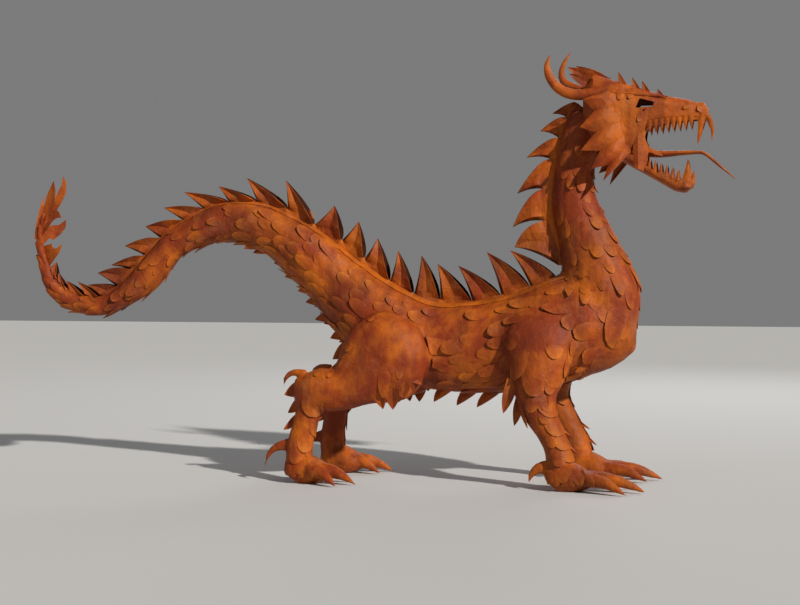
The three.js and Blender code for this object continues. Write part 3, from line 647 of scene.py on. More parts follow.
def cut_sheet(name, outline, y, tilt):
    """A sheet cut to an outline of points x and z. Points without a 1 are rounded off; tilt leans it over."""
    count, rounded = len(outline), []
    for index, (x, z, *sharp) in enumerate(outline):
        before, after = outline[index - 1], outline[(index + 1) % count]
        if sharp:
            rounded.append((x, z))
            continue
        for weight, other in ((0.25, before), (0.08, before), (0.08, after), (0.25, after)):
            pull = 0.06 if weight == 0.08 else 0
            inner_x, inner_z = (before[0] + after[0]) / 2 - x, (before[1] + after[1]) / 2 - z
            rounded.append((
                x + (other[0] - x) * weight + inner_x * pull, z + (other[1] - z) * weight + inner_z * pull,
            ))
    low = min(x for x, _ in rounded)
    mesh = bmesh.new()
    for x, z in rounded:
        mesh.verts.new(place(x, y + (x - low) * tilt, z))
    mesh.faces.new(mesh.verts)
    sheet = bpy.data.objects.new(name, bpy.data.meshes.new(name))
    mesh.to_mesh(sheet.data)
    mesh.free()
    bpy.context.scene.collection.objects.link(sheet)
    with edited(sheet):
        bpy.ops.mesh.quads_convert_to_tris()
        bpy.ops.mesh.normals_make_consistent(inside=False)
    modify(sheet, "SOLIDIFY", thickness=FLAME_THICKNESS, offset=0)
    return sheet


# For each flame: how far to the side it starts, how it leans, and its outline, with 1 at its sharp corners
TAIL_FLAMES = [
    (10, -0.25, [
        (-2738, 1662, 1), (-2702, 1672), (-2658, 1681, 1), (-2651, 1652), (-2623, 1643),
        (-2563, 1676, 1), (-2589, 1619), (-2630, 1571), (-2676, 1519, 1), (-2702, 1533),
        (-2728, 1591),
    ]),
    (-22, 0.3, [
        (-2759, 1676, 1), (-2738, 1734), (-2685, 1805, 1), (-2661, 1819), (-2615, 1820),
        (-2563, 1861, 1), (-2568, 1799), (-2604, 1752), (-2654, 1709, 1), (-2682, 1724),
        (-2713, 1686), (-2738, 1657, 1),
    ]),
    (20, -0.3, [
        (-2759, 1724, 1), (-2723, 1848), (-2666, 1919), (-2625, 1933), (-2589, 1918),
        (-2568, 1873, 1), (-2615, 1871), (-2654, 1847), (-2689, 1800), (-2723, 1714, 1),
    ]),
    (-8, 0.25, [
        (-2728, 1810, 1), (-2702, 1886), (-2656, 1981), (-2618, 2070, 1), (-2592, 2118),
        (-2584, 2184, 1), (-2558, 2136), (-2563, 2056), (-2594, 1989), (-2630, 1928, 1),
        (-2676, 1862),
    ]),
    (12, -0.2, [
        (-2759, 1791, 1), (-2742, 1915), (-2718, 1981), (-2702, 2038), (-2640, 2147, 1),
        (-2623, 2075), (-2630, 1999), (-2666, 1905), (-2723, 1800, 1),
    ]),
    (-14, 0.35, [
        (-2798, 1715, 1), (-2787, 1810), (-2764, 1924), (-2731, 2031, 1), (-2728, 1962),
        (-2740, 1867), (-2753, 1715, 1),
    ]),
]
for number, (y, tilt, outline) in enumerate(TAIL_FLAMES, 1):
    blade = cut_sheet(f"tail_blade_{number}", outline, y, tilt)
    fit_out(blade, leaf_steel, f"tail_leaf_{number}")

# The tip and the foot of each hanging leaf: x and z in mm
TAIL_HANGERS = [
    ((-1142, 1640), (-1005, 1662)), ((-1003, 1610), (-880, 1590)), ((-917, 1536), (-815, 1500)),
    ((-835, 1436), (-722, 1420)), ((-737, 1336), (-632, 1320)), ((-680, 1256), (-572, 1240)),
    ((-610, 1132), (-492, 1130)), ((-497, 1000), (-392, 1010)), ((-480, 850), (-372, 905)),
]
hangers = []
run = Vector((0.75, 0, -0.66)) * 0.06
for tip, foot in TAIL_HANGERS:
    for side in (-1, 1):
        shift = Vector((0, 0, 0)) if side < 0 else run * 0.8
        middle = place(foot[0], side * 62, foot[1] + 18)
        end = place(tip[0], side * 50, tip[1]) + shift
        rear, front = middle - run + shift, middle + run + shift
        hangers.append(cut_leaf("hanger", rear, front, end, 0.12, 0.12, root=0.07))
fit_out(weld_together("tail_hanging_leaves", hangers), leaf_steel, "body_skin")
BELLY_LEAVES = [((246, 557), (330, 650)), ((410, 535), (500, 632)), ((553, 524), (660, 632))]
hangers = []
for tip, (x, z) in BELLY_LEAVES:
    rear, front, end = place(x - 58, 0, z), place(x + 58, 0, z), place(tip[0], 0, tip[1])
    hangers.append(cut_leaf("hanger", rear, front, end, 0.2, 0.1, crease=0.02, root=0.09))
fit_out(weld_together("belly_leaves", hangers), leaf_steel, "body_skin")


# The legs. Each is a shell of beaten steel sheet over hoops, with plates and leaves of sheet welded on. The
# left pair mirrors the right pair, and stands further forward from the hip down.

# Heights in mm between which the stride grows from nothing to the whole of it
HIP_HEIGHT, ANKLE_HEIGHT = 930, 100


def step_ahead(stride, height):
    """How far a point of a leg is moved forward by the stride."""
    return stride * min(max((HIP_HEIGHT - height) / (HIP_HEIGHT - ANKLE_HEIGHT), 0), 1)


def on_side(side, stride, stations):
    """The right leg's stations, mirrored to a side and moved by the stride."""
    return [(x + step_ahead(stride, z), side * y, z, *girth) for x, y, z, *girth in stations]


def leg_leaves(side, stride, leaves, crease, root):
    """Leaves on a leg, each given by its rear foot, front foot and tip."""
    made = []
    for corners in leaves:
        rear, front, tip = (place(*corner) for corner in on_side(side, stride, corners))
        made.append(cut_leaf("spike", rear, front, tip, 0.15, 0.15, crease * side, root))
    return made


def side_plates(name, tree, side, stride, plates, centre=0.3):
    """Plates pressed on from the side, each given by its root, tip, width and lift off the skin, in mm."""
    points, faces, tones = [], [], []
    chance = random.Random(len(plates))
    for root_x, root_z, tip_x, tip_z, width, lift in plates:
        run = Vector((tip_x - root_x, 0, tip_z - root_z)) / 1000
        cross = Vector((-run.z, 0, run.x)).normalized() * width / 1000
        first = len(points)
        for across, along, _ in blank_points:
            flat = place(root_x, side * 900, root_z) + run * along + cross * across
            flat.x += step_ahead(stride, flat.z * 1000) / 1000
            hit, normal, _, _ = tree.ray_cast(flat, Vector((0, -side, 0)))
            if hit is None or hit.y * side < centre:
                hit, normal, _, _ = tree.find_nearest(Vector((flat.x, side * centre, flat.z)))
            crown = CROWN_HEIGHT * (1 - 4 * across * across)
            points.append(hit + normal * (crown - PLATE_BED + (lift / 1000 + PLATE_BED) * along ** 1.5))
        faces += [tuple(first + corner for corner in face[::-side]) for face in blank_faces]
        tones += [chance.random()] * len(blank_points)
    return plate_coat(name, points, faces, tones)


# Stations of the right legs, and the feet and tips of their leaves, in mm
SHIN = [
    (-600, 300, 730, 80, 80), (-592, 300, 640, 104, 94), (-585, 300, 545, 92, 86),
    (-603, 300, 440, 86, 80), (-640, 300, 310, 88, 82), (-658, 300, 195, 92, 84),
    (-662, 300, 100, 84, 80),
]
HAUNCH = [
    (215, 235, 960, 120, 60), (110, 240, 930, 262, 145), (-23, 245, 885, 318, 165),
    (-150, 255, 800, 285, 158), (-262, 275, 715, 195, 140), (-362, 295, 655, 148, 128),
    (-480, 300, 655, 148, 120), (-590, 300, 668, 118, 105), (-655, 300, 690, 60, 55),
]
HOCK = [(-610, 300, 755, 36, 30), (-690, 300, 770, 24, 22), (-748, 300, 735, 16, 15), (-768, 300, 665, 3, 3)]
REAR_SPUR = [
    (-640, 300, 262, 70, 40), (-735, 300, 262, 46, 28), (-820, 300, 242, 30, 20),
    (-880, 300, 188, 18, 14), (-905, 300, 105, 3, 3),
]
FRINGE = [
    ((-120, 350, 620), (-20, 360, 600), (-45, 330, 528)),
    ((-20, 360, 620), (80, 365, 620), (25, 330, 526)), ((60, 360, 650), (150, 350, 680), (100, 335, 605)),
    ((130, 345, 740), (200, 325, 800), (232, 320, 700)),
]
SHIN_SPIKES = [
    ((-690, 300, 700), (-665, 300, 600), (-763, 300, 612)),
    ((-675, 300, 590), (-665, 300, 500), (-738, 300, 486)),
    ((-690, 300, 470), (-695, 300, 390), (-770, 300, 367)),
]
FORE_LIMB = [
    (1035, 215, 1185, 110, 50), (1030, 235, 1100, 205, 110), (1025, 250, 960, 240, 138),
    (1020, 265, 800, 196, 140), (1006, 285, 660, 148, 125), (1026, 300, 540, 112, 105),
    (1098, 300, 405, 90, 88), (1146, 300, 305, 86, 84), (1170, 300, 215, 92, 88),
    (1176, 300, 110, 84, 84),
]
ELBOW = [
    ((800, 330, 690), (880, 330, 680), (789, 310, 514)),
    ((870, 320, 600), (925, 315, 560), (862, 300, 430)),
    ((960, 385, 720), (1080, 390, 720), (1105, 385, 560)),
]
FRONT_SPIKES = [
    ((1120, 300, 470), (1180, 300, 390), (1262, 300, 360)),
    ((1190, 300, 360), (1225, 300, 290), (1300, 300, 245)),
]
# Plates of the right legs: x and z of the root and of the tip, width and lift, in mm
HAUNCH_PLATES = [
    (119, 942, 77, 743, 60, 8), (7, 927, -35, 619, 90, 12), (84, 914, 49, 538, 85, 12),
    (154, 928, 112, 601, 80, 11), (210, 970, 203, 678, 85, 10), (-489, 852, -511, 748, 50, 6),
    (-404, 853, -418, 742, 52, 6), (-77, 1281, -148, 1130, 80, 4), (-247, 1075, -290, 923, 80, 5),
]
SHIN_PLATES = [
    (-507, 754, -543, 470, 170, 12), (-492, 533, -521, 305, 110, 9), (-586, 449, -600, 220, 110, 9),
    (-643, 343, -665, 142, 100, 8), (-543, 339, -557, 159, 95, 8),
]
LIMB_PLATES = [
    (1036, 985, 1009, 644, 190, 12), (1157, 987, 1130, 700, 150, 10), (948, 984, 874, 749, 110, 12),
    (1090, 806, 1130, 500, 190, 12), (1022, 711, 989, 537, 100, 10), (1123, 646, 1177, 374, 170, 11),
    (1083, 619, 1083, 459, 90, 9), (1163, 514, 1223, 282, 150, 11), (1130, 460, 1136, 300, 90, 9),
    (1210, 395, 1257, 203, 140, 10), (1170, 327, 1183, 174, 100, 9),
]
# Each limb of the rear legs, with the space between its hoops and the corners of a hoop
REAR_LIMBS = [("haunch", HAUNCH, 0.05, 20), ("shin", SHIN, 0.05, 16)]
REAR_LIMBS += [("hock", HOCK, 0.025, 8), ("spur", REAR_SPUR, 0.03, 8)]
# For each pair: its limbs, the size of the cells that weld them, its leaves with crease and root, its plates
LEGS = {
    "rear": (
        REAR_LIMBS, 0.010, [(FRINGE, 0.012, 0.06), (SHIN_SPIKES, 0.01, 0.05)], HAUNCH_PLATES + SHIN_PLATES),
    "front": (
        [("limb", FORE_LIMB, 0.05, 20)], 0.011, [(ELBOW, 0.012, 0.07), (FRONT_SPIKES, 0.01, 0.05)],
        LIMB_PLATES),
}
# The side of the legs, and how far its rear leg and its front leg are moved forward, in mm
STRIDES = {"right": (-1, 0, 0), "left": (1, 90, 75)}
leg_steel = rusty_steel("leg_shell", 0.46)
for name, (side, *strides) in STRIDES.items():
    for (pair, (limbs, voxel, leaves, plates)), stride in zip(LEGS.items(), strides):
        node, drawn, spikes = f"{pair}_leg_{name}", [], []
        for limb, stations, spacing, corners in limbs:
            drawn.append(draw_over(limb, bend(on_side(side, stride, stations), spacing), corners))
        leg = beat_smooth(f"{node}_shell", drawn, voxel, passes=4, dents=0.008)
        tree = feel_skin(leg)
        for rows, crease, root in leaves:
            spikes += leg_leaves(side, stride, rows, crease, root)
        fit_out(leg, leg_steel, node)
        fit_out(weld_together(f"{node}_leaves", spikes), leaf_steel, node)
        if pair == "front":
            limb = bend(on_side(side, stride, FORE_LIMB), 0.05)
            coat = scale_coat(
                f"shoulder_{name}_scales", limb, tree, start=0.1, end=0.5,
                pitch=(0.12, 0.12), width=(0.12, 0.12), lift=0.011, length=1.75, seed=13)
            fit_out(coat, plate_steel, node)
        fit_out(side_plates(f"{node}_plates", tree, side, stride, plates), plate_steel, node)


# The feet. A heel box of steel sheet stands flat on the ground, and three clawed toes of rolled sheet are
# welded to it. The front feet have a curled spur behind.

# Stations of the heel: distance ahead of the ankle, height, half height and half width, in mm
HEEL = [
    (-75, 62, 45, 50), (-40, 85, 100, 82), (40, 95, 112, 104), (120, 86, 94, 112), (190, 78, 62, 92),
    (225, 75, 40, 60),
]
FRONT_SPUR = [
    (1120, 300, 150, 60, 36), (1040, 300, 150, 42, 28), (985, 300, 110, 24, 18), (960, 300, 40, 3, 3),
]
# Each foot's ankle and length in mm, how far it turns out and how far its toes spread, in degrees
FEET = {"rear": (-658, 440, 10, 22), "front": (1170, 590, 4, 19)}
# Plates of the feet: distance ahead and height of the root and of the tip, and width, in mm
FOOT_BANDS = {
    "rear": [(-60, 190, -50, 60, 90), (20, 200, 40, 75, 90), (90, 180, 140, 60, 80), (-10, 180, -5, 50, 70)],
    "front": [
        (-60, 190, -55, 55, 95), (20, 205, 45, 70, 95), (100, 190, 165, 60, 85), (160, 160, 250, 60, 70),
        (-15, 180, -5, 45, 75),
    ],
}
foot_steel = rusty_steel("foot_shell", 0.6)


def foot_parts(ankle, length, turn_out, spread, side):
    """The heel and three toes of one foot, before they are welded together."""
    heel = [(ankle + along, side * 300, high, *girth) for along, high, *girth in HEEL]
    parts = [draw_over("heel", bend(heel, 0.025), 14)]
    for turn, size in ((-spread, 0.86), (0, 1.0), (spread, 0.86)):
        aim = math.radians(turn + turn_out)
        stations = [
            (80, 92, 58, 56), (230, 88, 50, 46), (0.62 * length, 84, 42, 36), (0.82 * length, 52, 28, 24),
            (length, 6, 3, 3),
        ]
        toe = []
        for along, high, *girth in stations:
            reach = max(along * size, 60)
            toe.append((ankle + reach * math.cos(aim), side * (300 + reach * math.sin(aim)), high, *girth))
        parts.append(draw_over("toe", bend(toe, 0.03), 12))
    return parts


def stand_flat(piece):
    """Cuts a piece off at the ground, so that its sole is flat."""
    with edited(piece):
        bpy.ops.mesh.bisect(plane_co=(0, 0, 0.0005), plane_no=(0, 0, 1), clear_inner=True, use_fill=True)


for name, (side, *strides) in STRIDES.items():
    for pair, stride in zip(FEET, strides):
        node, (ankle, length, turn_out, spread) = f"{pair}_foot_{name}", FEET[pair]
        parts = foot_parts(ankle + stride, length, turn_out, spread, side)
        if pair == "front":
            parts.append(draw_over("spur", bend(on_side(side, stride, FRONT_SPUR), 0.025), 8))
        foot = beat_smooth(f"{node}_shell", parts, voxel=0.008, passes=3, dents=0.005, dent_size=0.06)
        stand_flat(foot)
        fit_out(foot, foot_steel, node)
        bands = []
        for root, root_z, tip, tip_z, wide in FOOT_BANDS[pair]:
            bands.append((ankle + root - 1, root_z, ankle + tip, tip_z, wide, 8))
        fit_out(side_plates(f"{node}_plates", feel_skin(foot), side, stride, bands), plate_steel, node)


# The skull. A hollow box of thin steel sheet with an eye slot cut through it, a flat palate, and small
# plates pressed and welded on.

# Stations from the back of the head to the snout: x, crown, floor, half width above and below, in mm
SKULL = [
    (1300, 2760, 2440, 95, 90), (1370, 2822, 2350, 140, 125), (1500, 2782, 2285, 158, 140),
    (1625, 2745, 2292, 150, 138), (1700, 2718, 2392, 136, 124), (1740, 2703, 2466, 128, 118),
    (1865, 2664, 2493, 104, 102), (1992, 2640, 2504, 80, 86), (2065, 2616, 2506, 66, 76),
    (2105, 2620, 2512, 58, 66), (2136, 2570, 2520, 40, 46),
]


def place_ahead(stations, v):
    """The x of a place between the first station and the last, from 0 to 1."""
    return float(np.interp(v, np.linspace(0, 1, len(stations)), [station[0] for station in stations]))


def measures_at(stations, x):
    """The other numbers of the stations, between the two that x lies between."""
    columns = np.array(stations, float).T
    return [float(np.interp(x, columns[0], column)) for column in columns[1:]]


def skull_ring(x):
    """The closed outline of the skull at a distance ahead, from its top round its left side."""
    crown, floor_height, above, below = measures_at(SKULL, x)
    height = crown - floor_height
    half = [
        (0, crown), (0.55 * above, crown - 0.05 * height), (above, crown - 0.3 * height),
        ((above + below) / 2, crown - 0.6 * height), (below, floor_height + 0.12 * height),
        (0.55 * below, floor_height),
    ]
    return half + [(0, floor_height)] + [(-y, z) for y, z in half[:0:-1]]


def skull_surface(u, v):
    """A point of the skull's skin: u goes round it, and v from the back of the head to the snout."""
    x = place_ahead(SKULL, v)
    ring = skull_ring(x)
    corner = (u * len(ring)) % len(ring)
    first = int(corner)
    four = (np.array(ring[(first + shift) % len(ring)]) for shift in (-1, 0, 1, 2))
    y, z = curve_through(*four, corner - first)
    return place(x, y, z)


skull = form_grid("skull_shell", 36, 30, skull_surface)
with edited(skull):
    bpy.ops.mesh.remove_doubles(threshold=0.0004)
    bpy.ops.mesh.select_all(action="DESELECT")
    bpy.ops.mesh.select_non_manifold()
    bpy.ops.mesh.fill_holes(sides=0)
    bpy.ops.mesh.select_all(action="SELECT")
    bpy.ops.mesh.normals_make_consistent(inside=False)
modify(skull, "SOLIDIFY", thickness=0.007, offset=-1.0)
# The corners of the eye slot: x and z in mm
EYE = [(1684, 2643), (1782, 2617), (1770, 2587), (1658, 2577)]
bpy.ops.object.select_all(action="DESELECT")
bpy.ops.mesh.primitive_cylinder_add(vertices=4, radius=1, depth=0.6)
eye_cutter = bpy.context.object
for point in eye_cutter.data.vertices:
    corner = EYE[(0 if point.co.x > 0.5 else 2) if abs(point.co.x) > 0.5 else (1 if point.co.y > 0 else 3)]
    point.co = place(corner[0], 0, corner[1]) + Vector((0, point.co.z, 0))
with edited(eye_cutter):
    bpy.ops.mesh.normals_make_consistent(inside=False)
modify(skull, "BOOLEAN", operation="DIFFERENCE", object=eye_cutter, solver="EXACT")
bpy.data.objects.remove(eye_cutter)
soften(skull, 35)
head_steel = rusty_steel("head_sheet", 0.6)
fit_out(skull, head_steel, "skull")
# A sheet inside the head, behind the upper part of the eye slot
socket = shape_sheet("eye_socket", 2, 2, lambda u, v: place(1630 + 190 * u, 20, 2606 + 60 * v), 0.004)
fit_out(socket, head_steel, "skull")

SKULL_PLATES = [
    (1451, 2789, 1464, 2639, 60, 9), (1383, 2709, 1369, 2580, 55, 9), (1505, 2706, 1498, 2584, 60, 7),
    (1572, 2772, 1552, 2630, 60, 6), (1653, 2743, 1612, 2636, 45, 8), (1491, 2638, 1424, 2565, 50, 8),
    (1726, 2579, 1673, 2486, 45, 6), (2051, 2625, 1972, 2573, 42, 7), (2137, 2596, 2064, 2558, 60, 9),
    (1424, 2803, 1342, 2805, 50, 8), (1532, 2692, 1619, 2683, 60, 5),
]
skull_tree = feel_skin(skull)
for name, side in (("right", -1), ("left", 1)):
    coat = side_plates(f"skull_{name}_plates", skull_tree, side, 0, SKULL_PLATES, 0.02)
    fit_out(coat, plate_steel, "skull")


# The upper teeth. Tapered blades cut from sheet and bowed, in a row of eight on each side, with two bigger
# fangs near the snout. They are welded to the lower edge of the skull.
def tooth(base, tip, half, hook=0.12):
    """A blade of a half width from base to tip, bowed forwards by its hook."""
    bpy.ops.object.select_all(action="DESELECT")
    bpy.ops.mesh.primitive_cone_add(vertices=6, radius1=1, radius2=0.04, depth=1, location=(0, 0, 0.5))
    blade = bpy.context.object
    bpy.ops.object.transform_apply(location=True)
    with edited(blade):
        bpy.ops.mesh.subdivide(number_cuts=2)
    start, end = place(*base), place(*tip)
    run = end - start
    for point in blade.data.vertices:
        along = point.co.z
        curve = Vector((hook * run.length * along * (1 - along), 0, 0))
        offset = Vector((point.co.x * half, point.co.y * half * 0.5, 0)) / 1000
        point.co = start + run * (along * 1.25 - 0.25) + curve + offset
    soften(blade, 50)
    return blade


def tooth_row(count, first, last, length, half, way):
    """Even teeth on both sides, from first to last, pointing up (1) or down (-1)."""
    row = []
    for side in (-1, 1):
        for index in range(count):
            share = index / (count - 1)
            x, y, z = (a + (b - a) * share for a, b in zip(first, last))
            row.append(tooth((x, side * y, z), (x + 6, side * (y - 4), z + way * length), half))
    return row


def tooth_pair(base, tip, half, hook=0.12):
    """The same tooth on both sides."""
    return [tooth(*((x, side * y, z) for x, y, z in (base, tip)), half, hook) for side in (-1, 1)]


upper = tooth_row(8, (1745, 112, 2480), (2020, 78, 2510), 72, 27, -1)
upper += tooth_pair((2090, 62, 2505), (2064, 64, 2342), 38)
upper += tooth_pair((2118, 34, 2515), (2160, 32, 2366), 34, 0.6)
fit_out(weld_together("upper_teeth", upper), head_steel, "skull")


# The gums and the corners of the mouth. A strip of sheet along each lower edge of the skull holds the teeth,
# and a curved sheet is welded between skull and jaw on each side, its inner face painted nearly black as
# shade.

# Where the gums begin and end: x in mm
GUM_START, GUM_END = 1735, 2100


def gum_strip(side):
    """A strip along the lower edge of the skull, which the teeth hang from."""
    def shape(u, v):
        x = GUM_START + (GUM_END - GUM_START) * u
        _, floor_height, _, half = measures_at(SKULL, x)
        return place(x, side * (half - 2 - 6 * v), floor_height + 36 - 44 * v)
    return shape


gums = [shape_sheet("gum", 16, 3, gum_strip(side), 0.004) for side in (-1, 1)]
fit_out(weld_together("gum_strips", gums), head_steel, "skull")
MOUTH_CORNER = [
    (1655, 2500, 1), (1752, 2478, 1), (1728, 2440), (1718, 2372), (1742, 2322), (1775, 2300),
    (1812, 2289, 1), (1840, 2256, 1), (1780, 2268), (1744, 2292, 1), (1736, 2255), (1742, 2166, 1),
    (1700, 2164, 1), (1662, 2196), (1655, 2300),
]
corners = [cut_sheet("mouth_corner", MOUTH_CORNER, side * 118, -side * 0.36) for side in (-1, 1)]
corners = weld_together("mouth_corners", corners)
# The inner faces of the mouth corners are painted nearly black as shade
paint_inner_shade(corners)
fit_out(corners, fin_steel, "skull")


# The brow and the crown. A beaten ridge over each eye, four small spikes behind one another above it, and a
# tuft of three long leaves at the back of the head, all welded on.
BROW = [(1450, 140, 2689, 5, 9), (1631, 124, 2677, 12, 9), (1771, 108, 2663, 12, 9), (1877, 96, 2653, 3, 9)]
ridges = [draw_over("brow", bend(on_side(side, 0, BROW), 0.03), 10) for side in (-1, 1)]
ridges = beat_smooth("brow_ridges", ridges, voxel=0.005, passes=2, dents=0.002, dent_size=0.03)
fit_out(ridges, head_steel, "skull")
CROWN_TUFT = [
    ((1375, -30, 2740), (1410, -30, 2810), (1187, -45, 2874)),
    ((1375, -60, 2700), (1420, -60, 2770), (1202, -75, 2826)),
    ((1400, 0, 2775), (1440, 0, 2815), (1240, 0, 2887)),
]
BROW_SPIKES = [
    ((1540, 70, 2742), (1600, 70, 2725), (1536, 72, 2832)),
    ((1635, 70, 2725), (1685, 70, 2708), (1630, 72, 2792)),
    ((1700, 66, 2706), (1750, 64, 2690), (1696, 68, 2766)),
    ((1800, 52, 2674), (1840, 50, 2664), (1800, 54, 2711)),
]
spikes = [cut_leaf("tuft", *(place(*corner) for corner in corners), root=0.05) for corners in CROWN_TUFT]
for side in (-1, 1):
    for corners in BROW_SPIKES:
        rear, front, tip = (place(*corner) for corner in on_side(side, 0, corners))
        spikes.append(cut_leaf("spike", rear, front, tip, 0.05, 0.1, 0.006, 0.04))
fit_out(weld_together("crown_spikes", spikes), leaf_steel, "skull")


# The lower jaw. A trough of steel sheet hung from the skull by a strap on each side, with teeth of its own
# along both edges and at the chin.

# Stations from the throat to the chin: x, height of the rim and of the keel, and half width, in mm
JAW = [
    (1562, 2300, 2232, 118), (1640, 2262, 2184, 118), (1715, 2196, 2143, 110), (1809, 2138, 2088, 101),
    (1918, 2102, 2024, 84), (1985, 2088, 2011, 70), (2038, 2092, 2050, 44),
]


def jaw_trough(u, v):
    """A point of the trough: u goes across it, and v from the throat to the chin."""
    x = place_ahead(JAW, v)
    rim, keel, half = measures_at(JAW, x)
    across = u * 2 - 1
    drop = 1 - min(abs(across) * 1.05, 1) ** 2.4
    wide = half * math.sin(min(abs(across) * 1.9, math.pi / 2)) * (1 if across > 0 else -1)
    return place(x, wide, rim - (rim - keel) * drop)


jaw = [shape_sheet("jaw", 16, 20, jaw_trough, 0.009, 40)]
for side in (-1, 1):
    feet = place(1640, side * 117, 2210), place(1712, side * 112, 2185)
    tip = place(1672, side * 118, 2520)
    jaw.append(cut_leaf("strap", *feet, tip, 0.06, 0.04, crease=0.014 * side, thick=0.007))
jaw += tooth_row(6, (1745, 102, 2180), (1935, 82, 2104), 64, 20, 1)
jaw += tooth_pair((1990, 62, 2080), (2004, 64, 2232), 50)
jaw += tooth_pair((2024, 36, 2084), (2044, 32, 2155), 32)
fit_out(weld_together("lower_jaw_sheet", jaw), head_steel, "lower_jaw")


# The tongue. One thick strip of steel, welded inside the mouth, that reaches out past the chin, bends down
# there and ends in a point.
TONGUE = [
    (1660, 0, 2290, 24, 58), (1809, 0, 2274, 24, 50), (1960, 0, 2279, 17, 40), (2082, 0, 2281, 13, 32),
    (2128, 0, 2262, 12, 28), (2215, 0, 2186, 9, 20), (2314, 0, 2101, 3, 5),
]
tongue = draw_over("tongue_strip", bend(TONGUE, 0.03), 12)
soften(tongue, 50)
fit_out(tongue, head_steel, "tongue")


# The horns. Two long cones rolled from sheet and welded to the back of the head, swept back and then up to a
# point. The left one stands more upright.
HORNS = {
    "right": [
        (1500, -118, 2700, 44, 38), (1400, -128, 2684, 40, 36), (1253, -140, 2676, 37, 33),
        (1150, -150, 2712, 34, 30), (1080, -156, 2795, 29, 25), (1062, -158, 2878, 19, 16),
        (1082, -158, 2947, 3, 3),
    ],
    "left": [
        (1500, 118, 2700, 44, 38), (1380, 126, 2700, 38, 34), (1240, 138, 2742, 32, 29),
        (1140, 148, 2800, 26, 24), (1122, 154, 2868, 20, 18), (1144, 158, 2938, 13, 12),
        (1184, 160, 3003, 3, 3),
    ],
}
for name, stations in HORNS.items():
    horn = draw_over(f"horn_{name}_cone", bend(stations, 0.025), 16)
    soften(horn, 50)
    fit_out(horn, head_steel, f"horn_{name}")


# The cheek frills. One sheet of steel on each side, cut to five pointed lobes and creased so that a ridge
# runs to the tip of each. It is welded along the back of the cheek.
FRILL_TIPS = [(1310, 205, 2634), (1297, 225, 2446), (1303, 240, 2289), (1374, 240, 2164), (1452, 225, 2082)]
FRILL_FEET = [
    (1500, 158, 2700), (1545, 160, 2590), (1575, 160, 2490), (1600, 156, 2400), (1618, 150, 2330),
    (1625, 146, 2278),
]


def frill_shape(side):
    """The shape of the frill on one side: u goes down the cheek and v out to the tips."""
    feet = [place(x, side * y, z) for x, y, z in FRILL_FEET]
    tips = [place(x, side * y, z) for x, y, z in FRILL_TIPS]
    notches = [feet[0].lerp(tips[0], 0.35)]
    for one, other, foot in zip(tips, tips[1:], feet[1:]):
        notches.append(((one + other) / 2).lerp(foot, 0.36))
    notches.append(feet[-1].lerp(tips[-1], 0.2))

    def shape(u, v):
        lobe = min(int(u * 5), 4)
        part = u * 5 - lobe
        foot = feet[lobe].lerp(feet[lobe + 1], part)
        ends = (notches[lobe], tips[lobe]) if part < 0.5 else (notches[lobe + 1], tips[lobe])
        share = part * 2 if part < 0.5 else (1 - part) * 2
        edge = ends[0].lerp(ends[1], share ** 1.3)
        ridge = 0.042 * (1 - abs(part * 2 - 1)) * min(1.0, v * 2.5) * (1 - 0.6 * v)
        point = foot.lerp(edge, v)
        stand = abs(point.y) + 0.02 * math.sin(math.pi * v) - 0.035 * (1 - v) ** 2
        hit, _, _, _ = skull_tree.ray_cast(Vector((point.x, side * 0.9, point.z)), Vector((0, -side, 0)))
        if hit is not None:
            stand = max(stand, abs(hit.y) + 0.004)
        point.y = side * (stand + ridge)
        return point
    return shape


for name, side in (("right", -1), ("left", 1)):
    frill = shape_sheet(f"cheek_frill_{name}_sheet", 40, 10, frill_shape(side), 0.005, 11)
    fit_out(frill, head_steel, f"cheek_frill_{name}")


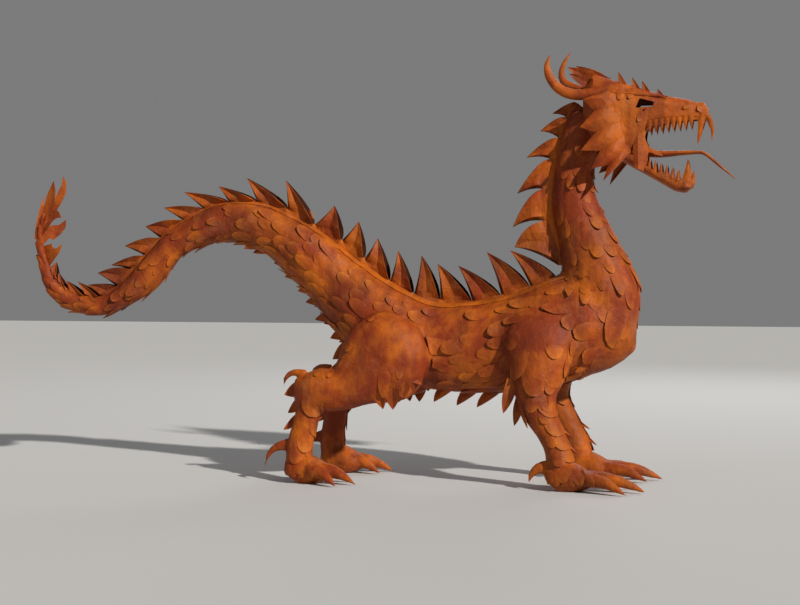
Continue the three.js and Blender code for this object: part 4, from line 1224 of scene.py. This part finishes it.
# The floor, the lights and the camera. The camera stands 11 m from the sculpture at eye height, a little in
# front of the beam, with a lens of 70 mm.
bpy.ops.object.select_all(action="DESELECT")
bpy.ops.mesh.primitive_plane_add(size=60, location=(0, 0, 0))
floor = bpy.context.object
floor.name = "floor"
floor_finish = Finish("pale_floor")
floor_surface = floor_finish.node("ShaderNodeBsdfPrincipled", {}, {
    "Base Color": (0.54, 0.54, 0.54, 1), "Roughness": 0.9, "Specular IOR Level": 0.1,
})
floor_finish.node("ShaderNodeOutputMaterial", {}, {"Surface": floor_surface})
floor.data.materials.append(floor_finish.material)

world = bpy.data.worlds.new("studio")
bpy.context.scene.world = world
world.use_nodes = True
sky = world.node_tree.nodes["Background"].inputs
sky["Color"].default_value, sky["Strength"].default_value = (1.0, 1.0, 1.0, 1), 0.2
bpy.context.scene.view_settings.view_transform = "Standard"


# The lights all point at this height above the middle, in metres
AIM_HEIGHT = 1.2


def lamp(name, kind, location, power, size, colour=(1, 1, 1)):
    """Hangs a light. Size is the angle of a sun, or the width of a lamp."""
    light = bpy.data.objects.new(name, bpy.data.lights.new(name, kind))
    light.data.energy, light.data.color = power, colour
    if kind == "SUN":
        light.data.angle = size
    else:
        light.data.shape, light.data.size = "DISK", size
    light.location = location
    aim = Vector((0, 0, AIM_HEIGHT)) - Vector(location)
    light.rotation_euler = aim.to_track_quat("-Z", "Y").to_euler()
    bpy.context.scene.collection.objects.link(light)


lamp("key_light", "SUN", (8.8, -6.6, 7.6), 4.2, math.radians(2), (1.0, 0.96, 0.9))
lamp("soft_light", "AREA", (-7.0, -9.0, 7.0), 50, 5.0)
lamp("far_light", "AREA", (3.0, 9.5, 7.0), 240, 6.0)

# Metres, and the angle in front of the beam
CAMERA_DISTANCE, EYE_HEIGHT, SWING = 11.0, 1.5, math.radians(13)
# Pixels of the photograph
MIDDLE_ROW, HORIZON_ROW, FOCAL_LENGTH = 302.5, 268, 1555
camera = bpy.data.objects.new("camera", bpy.data.cameras.new("camera"))
camera.data.lens, camera.data.sensor_width = 70, 36
ahead, beside = CAMERA_DISTANCE * math.sin(SWING), CAMERA_DISTANCE * math.cos(SWING)
camera.location = (ahead + DRAWING_ZERO / 1000, -beside, EYE_HEIGHT)
tilt = math.atan((MIDDLE_ROW - HORIZON_ROW) / FOCAL_LENGTH)
camera.rotation_euler = (math.pi / 2 - tilt, 0, SWING)
bpy.context.scene.collection.objects.link(camera)
bpy.context.scene.camera = camera
